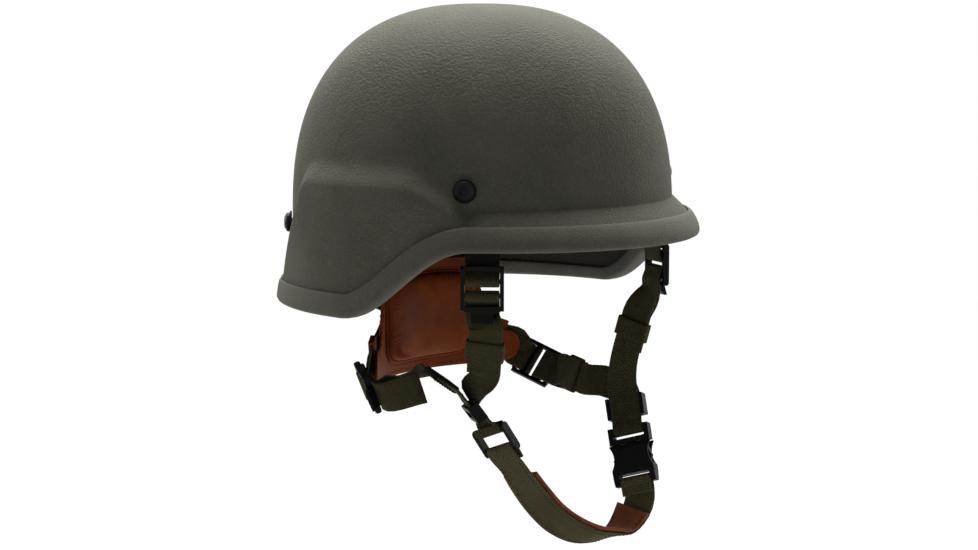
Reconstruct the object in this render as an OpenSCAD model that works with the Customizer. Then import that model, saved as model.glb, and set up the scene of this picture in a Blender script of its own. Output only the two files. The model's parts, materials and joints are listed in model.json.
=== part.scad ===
// Combat helmet: a moulded shell with a rubber edge, a webbing suspension inside it,
// and a four point harness with a nape pad, ladder locks and a side release buckle.
// +X is the front, +Y the wearer's left, +Z up. The origin is the centre of the head
// opening, at the level of the brim.

/* [Shell] */
// Half length of the dome, from its axis to the front
dome_front = 121; // [112:0.5:130]
// Half length of the dome, from its axis to the rear
dome_rear = 120; // [112:0.5:128]
// Half width of the dome
dome_side = 115; // [108:0.5:122]
// Height of the dome above its widest level
dome_rise = 129.5; // [118:0.5:138]
// Level at which the dome is widest
dome_level = 9; // [4:0.5:14]
// Fullness of the dome's profile, where 2 is an oval
dome_power = 2.44; // [2.2:0.02:2.7]
// Thickness of the shell
wall = 9; // [7:0.25:10]

/* [Brim and skirt] */
// Distance from the dome's axis to the edge of the brim at the front
rim_front = 138.5; // [134:0.5:144]
// Distance from the axis to the edge at the sides
rim_side = 125.5; // [123:0.5:130]
// Distance from the axis to the edge at the rear
rim_rear = 125; // [123:0.5:130]
// Level of the crease above the brim
crease_level = 21; // [18:0.5:24]
// Drop from the brim's edge to the edge over the ears and neck
skirt_drop = 42.5; // [38:0.5:50]
// Place along X where the edge starts to rise
step_start = 2; // [-6:1:10]
// Length over which the edge rises to the brim
step_run = 80; // [70:1:90]
// Height over which the skirt flares
skirt_flare = 34; // [28:0.5:38]

/* [Ear bulge] */
// Height that the bulge stands out
ear_rise = 7.5; // [5:0.25:9]
// Level of the bulge's top edge
ear_top = 40; // [34:0.5:46]
// Place along X of the bulge's front edge
ear_front = 52; // [46:0.5:58]
// Place along X of the bulge's rear edge
ear_rear = -57; // [-64:0.5:-52]
// Width of the bulge's rounded edges
ear_ease = 13; // [9:0.5:16]

/* [Rubber edge] */
// Height of the edging on the outside, measured square to the edge
edge_outside = 14.5; // [11:0.5:17]
// Height of the edging on the inside
edge_inside = 9; // [6:0.5:11]
// Thickness of the edging
edge_thick = 1.7; // [1.2:0.1:2.2]
// Gap between the edging and the shell
edge_gap = 0.4; // [0.3:0.05:0.6]

/* [Bolts] */
// Direction of the front bolts from the axis, measured from the front
front_bolt_turn = 52.5; // [49:0.5:56]
// Level of the front bolts
front_bolt_level = 32.5; // [29:0.5:35]
// Direction of the rear bolts from the axis
rear_bolt_turn = 137; // [134:0.5:140]
// Level of the rear bolts
rear_bolt_level = 3; // [0:0.5:6]
// Diameter of the bolt's head
bolt_head = 12; // [10:0.5:14]
// Height of the bolt's head
bolt_rise = 4; // [3:0.25:5]
// Diameter of the screw's shank
bolt_shank = 5; // [4:0.25:5.5]
// Diameter of the post that the screw runs into
post_width = 8; // [7.25:0.25:9]
// Diameter of the post's flange
post_flange = 15; // [12:0.5:18]
// Gap between the screw and its post, and between the post and its hole
bolt_gap = 0.2; // [0.1:0.05:0.3]

/* [Suspension] */
// Half length of the headband
band_length = 92; // [88:0.5:95]
// Half width of the headband
band_side = 79; // [75:0.5:82]
// Height of the leather headband
band_height = 38; // [30:0.5:42]
// Height of the headband's middle above the cradle band's middle
band_lift = 5; // [0:0.5:8]
// Thickness of the leather headband
band_thick = 4; // [3:0.25:4.5]
// Height of the cradle band that hangs on the bolts
cradle_height = 25; // [22:0.5:28]
// Width of a crown strap
crown_width = 14; // [12:0.5:16]
// Radius of the ring of cord that gathers the crown straps
crown_ring = 28; // [25:0.5:32]
// Thickness of that cord
crown_cord_width = 4; // [3:0.25:5]
// Clear height between the crown cord and the shell above it
crown_gap = 24; // [20:0.5:30]

/* [Webbing and buckles] */
// Width of the harness webbing
web_width = 20; // [18:0.25:21]
// Thickness of the webbing
web_thick = 1.5; // [1.2:0.05:1.6]
// Gap between layers of webbing, and between webbing and plastic
web_gap = 0.3; // [0.25:0.05:0.35]
// Width of a lock's side rail
lock_rail = 2.3; // [1.8:0.1:3]
// Height of a ladder lock
lock_height = 26.4; // [25:0.2:29]
// Thickness of a ladder lock
lock_thick = 4; // [3.4:0.1:4.6]
// Diameter of the bars that the webbing turns round
lock_bar = 3; // [2.6:0.1:3.2]
// Length of the thumb tab on a ladder lock
lock_tab = 6.6; // [5:0.2:8]
// Width of the side release buckle
buckle_width = 27; // [26.5:0.25:30]
// Length of the buckle's socket
socket_length = 26; // [24:0.5:29]
// Thickness of the buckle's socket
socket_thick = 8.4; // [8:0.1:9.5]
// Thickness of the plug inside the socket
plug_thick = 3; // [2.6:0.1:3.2]
// Gap between the plug and the socket's plates
plug_gap = 1.2; // [1:0.05:1.4]
// Length that the plug reaches into the socket
plug_length = 15; // [13:0.25:16]

/* [Pads] */
// Radius of the nape pad's face
nape_radius = 88; // [84:0.5:93]
// Half of the nape pad's arc, in degrees
nape_arc = 43; // [40:0.5:46]
// Half of the arc over which the pad has its full height, in degrees
nape_full_arc = 27; // [22:0.5:30]
// Height of the nape pad's backing
nape_height = 71; // [64:0.5:78]
// Height of the pad's wings, where the straps pass behind them
nape_wing = 20; // [16:0.5:26]
// Thickness of the nape cushion
nape_cushion = 9; // [7:0.5:10]
// Width of the flat border round the cushion
nape_border = 9; // [7:0.5:12]
// Thickness of the leather
leather = 1.8; // [1.4:0.1:2.2]
// Width of the chin strap's leather lining
lining_width = 24; // [22:0.5:26]

/* [Hidden] */

$fn = 32;
left = 1;
right = -1;
sides = [left, right];

// General functions
function clamp(v) = min(1, max(0, v));
function smooth(v) = let (c = clamp(v)) c * c * (3 - 2 * c);
function mix(a, b, t) = a + (b - a) * t;
function unit(v) = v / norm(v);
function aim(turn, rise = 0) = [cos(turn) * cos(rise), sin(turn) * cos(rise), sin(rise)];
function oval(front, side, rear, a) =
    1 / sqrt(pow(cos(a) / (cos(a) > 0 ? front : rear), 2) + pow(sin(a) / side, 2));

// The larger of two heights, with a rounded change from one to the other
blend = 3;
function larger(a, b) =
    let (near = max(0, blend - abs(a - b)) / blend)
    max(a, b) + near * near * blend / 4 * clamp(max(a, b) / blend);

// Shell surface: the radius from the axis at a direction and a level
dome_top = dome_level + dome_rise;
share_start = 30;
share_run = 45;
ear_lean_front = 0.87;
ear_lean_rear = 0.56;
function dome_radius(a) = oval(dome_front, dome_side, dome_rear, a);
function rim_radius(a) = oval(rim_front, rim_side, rim_rear, a);
function rim_x(a) = rim_radius(a) * cos(a);
function rim_level(a) = -skirt_drop * (1 - smooth((rim_x(a) - step_start) / step_run));
function profile(z) = z <= dome_level ? 1
    : pow(max(0, 1 - pow((z - dome_level) / dome_rise, dome_power)), 1 / dome_power);
function flare(a, z) =
    let (
        low = rim_level(a),
        brim = sin(90 * clamp((crease_level - z) / (crease_level - low))),
        skirt = smooth((skirt_flare - (z - low)) / skirt_flare)
    )
    (rim_radius(a) - dome_radius(a)) * mix(skirt, brim, smooth((rim_x(a) - share_start) / share_run));
function ear(a, z) =
    let (
        x = dome_radius(a) * cos(a),
        front = ear_front + ear_lean_front * max(0, ear_top - 5 - z),
        rear = ear_rear - ear_lean_rear * max(0, ear_top - 18 - z)
    )
    ear_rise * smooth((ear_top - z) / ear_ease + 0.5)
        * smooth((front - x) / ear_ease + 0.5) * smooth((x - rear) / ear_ease + 0.5);
function shell_radius(a, z) = dome_radius(a) * profile(z) + larger(flare(a, z), ear(a, z));
function shell_point(a, z) = let (r = shell_radius(a, z)) [r * cos(a), r * sin(a), z];
function shell_normal(a, z) =
    let (
        r = shell_radius(a, z),
        along = (shell_radius(a + 1, z) - shell_radius(a - 1, z)) * 90 / PI / r,
        up = (shell_radius(a, z + 0.2) - shell_radius(a, z - 0.2)) / 0.4
    )
    unit([cos(a) + sin(a) * along, sin(a) - cos(a) * along, -up]);

// Columns of the shell's mesh, closer together where the ear bulge begins and ends
columns = concat(
    [for (r = [[0, 6, 47], [48, 3, 71], [72, 5, 111], [112, 3, 135], [136, 5.5, 179]])
        for (a = [r[0] : r[1] : r[2]]) a],
    [for (r = [[180, 5.5, 223], [224, 3, 247], [248, 5, 287], [288, 3, 311], [312, 6, 359]])
        for (a = [r[0] : r[1] : r[2]]) a]
);

// Rows of the mesh: an even spread up to the crease, then closer together at first
low_rows = 10;
high_rows = 17;
crease_angle = acos(pow((crease_level - dome_level) / dome_rise, dome_power / 2));
function row_level(a, i) = i <= low_rows
    ? mix(rim_level(a), crease_level, i / low_rows)
    : dome_level + dome_rise
        * pow(cos(crease_angle * (1 - pow((i - low_rows) / high_rows, 1.6))), 2 / dome_power);

// Faces between two rings of n points that start at p and q
function band(p, q, n) = [for (j = [0 : n - 1])
    let (k = (j + 1) % n)
    each [[p + j, q + j, q + k], [p + j, q + k, p + k]]];

// A closed skin over rings of equal count, from one end point to another
module skin(start, rings, end) {
    n = len(rings[0]);
    m = len(rings);
    last = 1 + (m - 1) * n;
    polyhedron(
        points = concat([start], [for (ring = rings) each ring], [end]),
        faces = concat(
            [for (j = [0 : n - 1]) [0, 1 + j, 1 + (j + 1) % n]],
            [for (i = [0 : m - 2]) each band(1 + i * n, 1 + (i + 1) * n, n)],
            [for (j = [0 : n - 1]) [last + j, last + n, last + (j + 1) % n]]
        ),
        convexity = 10
    );
}

// A closed hoop over rings of equal count
module hoop(rings) {
    n = len(rings[0]);
    m = len(rings);
    polyhedron(
        points = [for (ring = rings) each ring],
        faces = [for (i = [0 : m - 1]) each band(i * n, ((i + 1) % m) * n, n)],
        convexity = 10
    );
}

// Frames: a point, then the directions of local X across, Y up and Z outward
function frame(p, out, down) =
    let (y = -unit(down), z = unit(out - (out * y) * y))
    [p, cross(y, z), y, z];
function to_world(f, q) = f[0] + f[1] * q[0] + f[2] * q[1] + f[3] * q[2];
function turned(f, q) = f[1] * q[0] + f[2] * q[1] + f[3] * q[2];
module at(f) {
    multmatrix([
        [f[1].x, f[2].x, f[3].x, f[0].x],
        [f[1].y, f[2].y, f[3].y, f[0].y],
        [f[1].z, f[2].z, f[3].z, f[0].z],
        [0, 0, 0, 1]
    ])
        children();
}

// Webbing: stations hold a point and the direction its face looks in
function station(p, out) = concat(p, out);
function in_frame(f, v, w, out_v, out_w) =
    station(to_world(f, [0, v, w]), turned(f, [0, out_v, out_w]));
function stretch_of(a, b) = norm([b[0] - a[0], b[1] - a[1], b[2] - a[2]]);
// Slope of a route at a station, in which the shorter of its two spans counts for more
function slope_at(chord, here, next, beside) = beside == 0 ? chord
    : (chord * beside + next * here * here / beside) / (here + beside);
function curve(p, i, t) =
    let (
        b = p[i],
        c = p[i + 1],
        a = p[max(0, i - 1)],
        d = p[min(len(p) - 1, i + 2)],
        here = stretch_of(b, c),
        leave = slope_at(c - b, here, b - a, stretch_of(a, b)),
        arrive = slope_at(c - b, here, d - c, stretch_of(c, d))
    )
    b + (c - b) * t * t * (3 - 2 * t) + leave * t * (1 - t) * (1 - t) - arrive * t * t * (1 - t);
function smoothed(p, k) =
    concat([for (i = [0 : len(p) - 2], s = [0 : k - 1]) curve(p, i, s / k)], [p[len(p) - 1]]);
function place_of(s) = [s[0], s[1], s[2]];
function face_of(s) = [s[3], s[4], s[5]];

// Direction of a route at a station: the nearer of its two neighbours counts for more
function run_at(route, i) =
    let (
        after = place_of(route[min(len(route) - 1, i + 1)]) - place_of(route[i]),
        before = place_of(route[i]) - place_of(route[max(0, i - 1)])
    )
    i == 0 ? unit(after)
        : i == len(route) - 1 ? unit(before)
        : unit(before * (norm(after) / norm(before)) + after * (norm(before) / norm(after)));

// The four corners of a webbing's section at each of its stations
function sections(route, width, thick, lift) = [for (i = [0 : len(route) - 1])
    let (
        p = place_of(route[i]),
        run = run_at(route, i),
        across = unit(cross(run, face_of(route[i]))),
        out = cross(across, run),
        c = p + out * lift,
        u = across * width / 2,
        w = out * thick / 2
    )
    [c - u - w, c + u - w, c + u + w, c - u + w]];

// A closed strip over rings of four corners each. Both faces are split along the same
// diagonal, so that the strip keeps its thickness where it twists
module strip(rings) {
    last = 4 * (len(rings) - 1);
    polyhedron(
        points = [for (ring = rings) each ring],
        faces = concat(
            [[0, 2, 1], [0, 3, 2]],
            [for (i = [4 : 4 : last], j = [0 : 3])
                let (k = (j + 1) % 4, a = i - 4)
                each j == 2
                    ? [[i + j, a + j, i + k], [a + j, a + k, i + k]]
                    : [[i + j, a + j, a + k], [i + j, a + k, i + k]]],
            [[last, last + 1, last + 2], [last, last + 2, last + 3]]
        ),
        convexity = 10
    );
}

// A length of webbing along a route, raised off it by lift
module web(route, width = web_width, thick = web_thick, lift = 0) {
    strip(sections(route, width, thick, lift));
}

// Bolts: each has its own frame on the outside of the shell, with local Z outward
bolt_spots = [
    [front_bolt_turn, front_bolt_level], [-front_bolt_turn, front_bolt_level],
    [rear_bolt_turn, rear_bolt_level], [-rear_bolt_turn, rear_bolt_level]
];
bolt_frames = [for (b = bolt_spots)
    frame(shell_point(b[0], b[1]), shell_normal(b[0], b[1]), [0, 0, -1])];
washer_thick = 1.2;
washer_sink = 0.6;
head_base = washer_thick + washer_sink;
inside_gap = 1.5;
hanger_stub = 6;
hanger_depth = wall + inside_gap + web_thick / 2;
cradle_depth = hanger_depth + web_thick + web_gap + 0.3;
flange_depth = cradle_depth + web_thick / 2 + web_gap;
flange_thick = 1.5;
web_hole = post_width + 2 * bolt_gap;

// Suspension: a frame that leans back through the four bolts
function inside_bolt(i) = to_world(bolt_frames[i], [0, 0, -cradle_depth]);
lean = atan2(inside_bolt(0).z - inside_bolt(2).z, inside_bolt(0).x - inside_bolt(2).x);
hub_level = inside_bolt(0).z - inside_bolt(0).x * tan(lean);
function to_hub(p) =
    let (q = p - [0, 0, hub_level])
    [q.x * cos(lean) + q.z * sin(lean), q.y, q.z * cos(lean) - q.x * sin(lean)];
module at_hub() {
    translate([0, 0, hub_level])
        rotate([0, -lean, 0])
            children();
}
front_post = to_hub(inside_bolt(0));
rear_post = to_hub(inside_bolt(2));
front_post_turn = atan2(front_post.y, front_post.x);
rear_post_turn = atan2(rear_post.y, rear_post.x);
front_post_radius = norm([front_post.x, front_post.y]);
rear_post_radius = norm([rear_post.x, rear_post.y]);
crown_thick = 1.2;
crown_offset = web_thick / 2 + crown_thick / 2 + 1.2;
band_offset = crown_offset + crown_thick / 2 + web_gap + 0.7;
post_spread = 24;
post_flat = 5;
function head_oval(a) = oval(band_length, band_side, band_length, a);
function peak(a, centre) = 1 - smooth((abs(a - centre) - post_flat) / (post_spread - post_flat));

// Distance from the axis to the upright plane through a post, square to its bolt
function to_plane(post, out, a) = (post.x * out.x + post.y * out.y) / (cos(a) * out.x + sin(a) * out.y);
function turn_to_hub(v) = [v.x * cos(lean) + v.z * sin(lean), v.y, v.z * cos(lean) - v.x * sin(lean)];
front_out = turn_to_hub(bolt_frames[0][3]);
rear_out = turn_to_hub(bolt_frames[2][3]);
function cradle_radius(b) =
    let (
        free = head_oval(b) + band_offset + band_thick,
        front = peak(b, front_post_turn),
        rear = peak(b, rear_post_turn)
    )
    free + (front > 0 ? front * (to_plane(front_post, front_out, b) - free) : 0)
        + (rear > 0 ? rear * (to_plane(rear_post, rear_out, b) - free) : 0);

// Direction that the band faces, which is along the bolt beside each post
function cradle_face(b) =
    unit(aim(b) * (1 - peak(b, front_post_turn) - peak(b, rear_post_turn))
        + front_out * peak(b, front_post_turn) + rear_out * peak(b, rear_post_turn));
function half_turn(a) = a > 180 ? 360 - a : a;
function mirrored(v, a) = a > 180 ? [v.x, -v.y, v.z] : v;
cradle_turns = [0 : 4 : 359];
function cradle_ring(a) =
    let (
        b = half_turn(a),
        p = aim(b) * cradle_radius(b),
        run = unit(aim(b + 1) * cradle_radius(b + 1) - aim(b - 1) * cradle_radius(b - 1)),
        across = unit(cross(run, cradle_face(b))),
        out = cross(across, run),
        u = across * cradle_height / 2,
        w = out * web_thick / 2
    )
    [for (q = [p - u - w, p - u + w, p + u + w, p + u - w]) mirrored(q, a)];
function head_outline(shift) = [for (a = [0 : 5 : 359])
    let (r = head_oval(a) + shift) [r * cos(a), r * sin(a)]];
crown_level = dome_top - wall - crown_gap - hub_level;
crown_turns = [20, 90, 162, 198, 270, 340];
crown_sag = crown_ring - sqrt(pow(crown_ring, 2) - pow(crown_width / 2, 2));
clip_turns = [0, 78, 107, 180, 253, 282];

// Hardware sizes shared by the locks, glides and buckle
lock_inner = web_width + 2 * web_gap;
lock_width = lock_inner + 2 * lock_rail;
turn_radius = lock_bar / 2 + web_gap + web_thick / 2;
slit = 1.8;
bar_place = (slit + web_thick) / 2 + turn_radius;
frame_bar = 2.8;
behind_one = lock_thick / 2 + web_gap + web_thick / 2;
behind_two = behind_one + web_thick + web_gap;
half_lock = lock_height / 2;
bar_clear = frame_bar + 0.5;

// Stations along an arc round a bar, from one direction to another
// look is -1 where the webbing's face looks back at the bar, and 1 where it looks away
function round_bar(f, v, from, to, look = -1, steps = 8) = [for (i = [0 : steps])
    let (a = mix(from, to, i / steps))
    in_frame(f, v + turn_radius * sin(a), turn_radius * cos(a), look * sin(a), look * cos(a))];

// Places of the harness, measured from the bolts that carry it
function front_anchor(side) = to_world(bolt_frames[side > 0 ? 0 : 1], [0, 0, -hanger_depth]);
function rear_anchor(side) = to_world(bolt_frames[side > 0 ? 2 : 3], [0, 0, -hanger_depth]);
front_lock_turn = [66, -50];
front_lock_offset = [[9.5, 0.5, -57], [12, -0.5, -57]];
stretch_offset = [[-0.5, -6.5, -87], [12.1, 2.9, -83]];
stretch_turn = [95, -58];
stretch_down = [[-0.24, -0.12, -1], [-0.26, 0.2, -1]];
stretch_length = 24;
rear_lock_offset = [[57, 6, -101], [57.5, -8.5, -97]];
rear_lock_out = [[-0.6, 0.69, -0.4], [-0.703, -0.63, -0.323]];
rear_lock_down = [[0.87, 0.31, -0.38], [0.83, -0.5, -0.25]];
rear_stretch_offset = [[90.85, 2.44, -104.12], [110, 1.5, -87.6]];
rear_stretch_out = [[0.2, 0.95, -0.3], [0.22, -0.6, -1]];
rear_stretch_down = [[0.96, -0.24, -0.13], [0.95, -0.19, -0.31]];
junction_offset = [[-3.6, -13.5, -149], [-7.6, 15.5, -133]];
junction_turn = [112, -128];
link_down = [[0.36, -0.21, -0.91], [0.42, 0.42, -0.8]];
plug_bar_drop = 15;
slider_drop = 22;
slider_half = 7;
slider_shift = 1.5;

function pick(list, side) = list[side > 0 ? 0 : 1];
function front_lock_frame(side) =
    frame(front_anchor(side) + pick(front_lock_offset, side), aim(pick(front_lock_turn, side)), [0, 0, -1]);
function front_stretch(side) =
    frame(front_anchor(side) + pick(stretch_offset, side), aim(pick(stretch_turn, side)),
        pick(stretch_down, side));
function rear_lock_frame(side) =
    frame(rear_anchor(side) + pick(rear_lock_offset, side), pick(rear_lock_out, side),
        pick(rear_lock_down, side));
function rear_stretch(side) =
    frame(rear_anchor(side) + pick(rear_stretch_offset, side), pick(rear_stretch_out, side),
        pick(rear_stretch_down, side));
function glide_frame(side) =
    frame(front_anchor(side) + pick(junction_offset, side), aim(pick(junction_turn, side)),
        pick(link_down, side));
function shifted(f, q) = [to_world(f, q), f[1], f[2], f[3]];

// Buckle: the socket leaves the plug along the arc of the chin strap about its pivot,
// so the pivot's axis is square to the plug and to the line between them
base_length = 7;
mouth = base_length + 2.2;
socket_bar = mouth + socket_length - lock_bar / 2 - 0.8;
plug_frame = shifted(glide_frame(left), [0, -plug_bar_drop, 0]);
pivot_rough = to_world(glide_frame(right), [0, -slider_drop - slider_half, 0]);
pivot_axis = unit(cross(to_world(plug_frame, [0, -mouth - 8, 0]) - pivot_rough, -plug_frame[2]));
slider_down = unit(pick(link_down, right) - (pick(link_down, right) * pivot_axis) * pivot_axis);
slider_frame = [
    to_world(glide_frame(right), [0, -slider_drop, 0]) + slider_shift * pivot_axis, -pivot_axis, -slider_down,
    cross(pivot_axis, slider_down)
];
pivot = to_world(slider_frame, [0, -slider_half, 0]);
socket_end = to_world(plug_frame, [0, -socket_bar, 0]);

// Shell of one even thickness, with four holes for the bolts
module shell() {
    outer = [for (i = [0 : low_rows + high_rows - 1])
        [for (a = columns) shell_point(a, row_level(a, i))]];
    inner = [for (i = [low_rows + high_rows - 1 : -1 : 0]) if (i % 2 == 0)
        [for (a = columns)
            let (z = row_level(a, i)) shell_point(a, z) - wall * shell_normal(a, z)]];
    color("#55574d")
        difference() {
            skin([0, 0, dome_top - wall], concat(inner, outer), [0, 0, dome_top]);
            for (f = bolt_frames)
                at(f)
                    translate([0, 0, -wall - 5])
                        cylinder(d = post_width + 2 * bolt_gap, h = wall + 10);
        }
}

// Rubber edging: a channel that wraps the whole edge of the shell
module edge_trim() {
    g = edge_gap;
    t = edge_thick;
    top = edge_outside;
    low = edge_inside;
    section = concat(
        [[top, g + 0.5], [top - 1.2, g + t * 0.85], [top * 0.7, g + t], [top * 0.35, g + t], [0, g + t * 0.9]],
        [[-g - t * 0.7, g * 0.5], [-g - t, -wall / 2], [-g - t * 0.7, -wall - g * 0.5]],
        [[0, -wall - g - t * 0.9], [low * 0.5, -wall - g - t], [low, -wall - g - t * 0.6]],
        [[low, -wall - g], [low * 0.5, -wall - g], [0, -wall - g], [-g, -wall], [-g, 0]],
        [[0, g], [top * 0.25, g], [top * 0.5, g], [top * 0.75, g], [top, g]]
    );
    rings = [for (a = columns)
        let (
            r = rim_radius(a),
            steep = (rim_level(a + 1) - rim_level(a - 1)) * 90 / PI / r,
            tall = sqrt(1 + steep * steep)
        )
        [for (s = section)
            let (z = rim_level(a) + s[0] * tall)
            shell_point(a, z) + s[1] * shell_normal(a, max(z, rim_level(a)))]];
    color("#4b4d44")
        hoop(rings);
}

// Dome headed screws with a hexagon socket
module bolts() {
    color("#161616")
        for (f = bolt_frames)
            at(f)
                translate([0, 0, head_base])
                    difference() {
                        union() {
                            rotate_extrude()
                                intersection() {
                                    translate([0, bolt_rise - bolt_head * 0.75])
                                        circle(r = bolt_head * 0.75, $fn = 64);
                                    square([bolt_head / 2, bolt_rise]);
                                }
                            translate([0, 0, -head_base - wall + 1])
                                cylinder(d = bolt_shank, h = head_base + wall - 0.9);
                        }
                        translate([0, 0, bolt_rise - 2])
                            cylinder(d = bolt_head * 0.42, h = 3, $fn = 6);
                    }
}

// Rubber washers between the heads and the curved shell
module bolt_washers() {
    color("#242424")
        for (f = bolt_frames)
            at(f)
                translate([0, 0, washer_sink])
                    difference() {
                        cylinder(d = bolt_head + 2, h = washer_thick - 0.05);
                        translate([0, 0, -1])
                            cylinder(d = bolt_shank + 2 * bolt_gap, h = washer_thick + 2);
                    }
}

// Posts that take the screws from inside and hold the webbing to the wall
module post_nuts() {
    length = flange_depth - 0.5;
    color("#3a3a38")
        for (f = bolt_frames)
            at(f)
                translate([0, 0, -flange_depth])
                    difference() {
                        union() {
                            cylinder(d = post_width, h = length);
                            translate([0, 0, -flange_thick])
                                cylinder(d = post_flange, h = flange_thick);
                        }
                        translate([0, 0, -flange_thick + 0.6])
                            cylinder(d = bolt_shank + 2 * bolt_gap, h = length + flange_thick);
                    }
}

// Webbing hoop that hangs on the four posts and is drawn in to the headband between them
module cradle_band() {
    color("#46473a")
        difference() {
            at_hub()
                hoop([for (a = cradle_turns) cradle_ring(a)]);
            for (f = bolt_frames)
                at(f)
                    translate([0, 0, -cradle_depth - 8])
                        cylinder(d = web_hole, h = 16);
        }
}

// Six straps that rise from the cradle band and turn over the crown cord
module crown_straps() {
    for (a = crown_turns)
        color("#4d4e40")
            at_hub()
                web(crown_route(a, cradle_radius(half_turn(a)) - crown_offset), crown_width, crown_thick);
}

// Route of a crown strap: up the band, over in a full curve, and round the cord
function crown_station(a, x, z, out_x, out_z) =
    station(aim(a) * x + [0, 0, z], aim(a) * out_x + [0, 0, out_z]);
function crown_route(a, foot) =
    let (
        turn = crown_cord_width / 2 + web_gap + crown_sag / 2 + crown_thick / 2,
        over = crown_ring - crown_sag / 2,
        low = cradle_height / 2 - 4,
        reach = foot - over,
        rise = crown_level + turn - low,
        full = 0.85
    )
    concat(
        [crown_station(a, foot, 1 - cradle_height / 2, 1, 0)],
        [for (t = [0 : 7.5 : 90])
            crown_station(a, over + reach * pow(cos(t), full), low + rise * pow(sin(t), full),
                pow(cos(t), 2 - full) / reach, pow(sin(t), 2 - full) / rise)],
        [for (t = [120 : 30 : 330])
            crown_station(a, over + turn * cos(t), crown_level + turn * sin(t), cos(t), sin(t))]
    );

// Cord that gathers the crown straps
module crown_cord() {
    color("#2f3026")
        at_hub()
            translate([0, 0, crown_level])
                rotate_extrude($fn = 64)
                    translate([crown_ring, 0])
                        circle(d = crown_cord_width, $fn = 16);
}

// Leather headband
module headband() {
    color("#7a4a2c")
        at_hub()
            translate([0, 0, band_lift - band_height / 2])
                linear_extrude(band_height)
                    difference() {
                        polygon(head_outline(band_thick));
                        polygon(head_outline(0));
                    }
}

// Clips that hook the headband to the cradle band
module headband_clips() {
    reach = band_offset + band_thick + web_thick / 2 + 1;
    for (a = clip_turns)
        color("#2a2a28")
            at_hub()
                rotate([0, 0, a])
                    translate([head_oval(a), 0, 0])
                        clip(reach, 8);
}

// One clip: a bridge over the top of both bands with a leg down each side
module clip(reach, width) {
    leg = 1;
    gap = 0.35;
    top = band_lift + band_height / 2 + gap;
    translate([0, width / 2, 0])
        rotate([90, 0, 0])
            linear_extrude(width)
                union() {
                    translate([-leg - gap - 0.3, top])
                        square([reach + 2 * leg + gap + 0.5, leg]);
                    translate([-leg - gap - 0.3, top - 12])
                        square([leg, 12.5]);
                    translate([reach - 0.8 + gap, -4])
                        square([leg, top + 4.5]);
                }
}

// Black tab from the front bolt down to the top of the ladder lock
module front_hanger(side) {
    f = bolt_frames[side > 0 ? 0 : 1];
    lock = front_lock_frame(side);
    out = f[3];
    top = front_anchor(side);
    route = smoothed([
        station(top + [0, 0, hanger_stub], out),
        station(top, out),
        station(top + [0, 0, -15], out),
        station(top - 1.2 * out + [0, 0, -24], out),
        in_frame(lock, half_lock + 15, -behind_one + web_thick + web_gap, 0, 1),
        in_frame(lock, half_lock + 1.2, -behind_one + web_thick + web_gap, 0, 1)
    ], 3);
    color("#121212")
        difference() {
            web(route);
            at(f)
                translate([0, 0, -hanger_depth - 4])
                    cylinder(d = web_hole, h = 8);
        }
}
module front_hanger_left() { front_hanger(left); }
module front_hanger_right() { front_hanger(right); }

// Short loop of webbing sewn behind the tab and round the lock's upper bar
function upper_loop(lock, reach_front, reach_back) = concat(
    [in_frame(lock, half_lock + reach_front, -behind_one, 0, -1),
        in_frame(lock, half_lock - bar_clear, -behind_one, 0, -1)],
    round_bar(lock, bar_place, 55, -180),
    [in_frame(lock, bar_place + 5, -behind_two + 0.6, 0, 1),
        in_frame(lock, half_lock, -behind_two, 0, 1),
        in_frame(lock, half_lock + reach_back, -behind_two, 0, 1)]
);
module front_loop(side) {
    color("#3a3827")
        web(upper_loop(front_lock_frame(side), 8, 7));
}
module front_loop_left() { front_loop(left); }
module front_loop_right() { front_loop(right); }

// Ladder lock: two rails, four bars and a thumb tab that bends outward
module ladder_lock(f) {
    color("#1b1b1b")
        at(f) {
            for (s = sides)
                translate([s * (lock_inner + lock_rail) / 2 - lock_rail / 2, 0, 0])
                    rotate([90, 0, 90])
                        linear_extrude(lock_rail)
                            rail_outline();
            for (v = [bar_place, -bar_place])
                translate([-lock_inner / 2 - 0.5, v, 0])
                    rotate([0, 90, 0])
                        cylinder(d = lock_bar, h = lock_inner + 1);
            translate([-lock_inner / 2 - 0.5, half_lock - frame_bar, -lock_thick / 2])
                cube([lock_inner + 1, frame_bar, lock_thick]);
            translate([-lock_inner / 2 - 0.5, -half_lock, -lock_thick / 2])
                cube([lock_inner + 1, frame_bar, lock_thick]);
            rotate([90, 0, 90])
                translate([0, 0, -web_width * 0.32])
                    linear_extrude(web_width * 0.64)
                        polygon([
                            [-half_lock + 0.5, -lock_thick / 2], [-half_lock + 0.5, lock_thick / 2],
                            [-half_lock - lock_tab, lock_thick / 2 + 2],
                            [-half_lock - lock_tab, lock_thick / 2 + 0.3],
                            [-half_lock - 2, -lock_thick / 2]
                        ]);
        }
}

// Side view of a rail, with rounded ends
module rail_outline() {
    r = lock_thick / 2;
    translate([-half_lock + r, -r])
        square([lock_height - 2 * r, lock_thick]);
    for (s = sides)
        translate([s * (half_lock - r), 0])
            circle(r = r);
}
module front_lock_left() { ladder_lock(front_lock_frame(left)); }
module front_lock_right() { ladder_lock(front_lock_frame(right)); }
module rear_lock_left() { ladder_lock(rear_lock_frame(left)); }
module rear_lock_right() { ladder_lock(rear_lock_frame(right)); }

// The turn of an adjustable strap in its lock: up behind, through the slit, over the
// lower bar, back through the lower window and down behind the thumb tab
function lock_turn(lock) = concat(
    [in_frame(lock, -half_lock - 2, -behind_two, 0, 1),
        in_frame(lock, -half_lock + 3, -behind_two, 0, 1)],
    round_bar(lock, -bar_place, 180, -60),
    [in_frame(lock, -half_lock + bar_clear, -behind_one, 0, -1),
        in_frame(lock, -half_lock - 3, -behind_one, 0, -1)]
);

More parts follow.
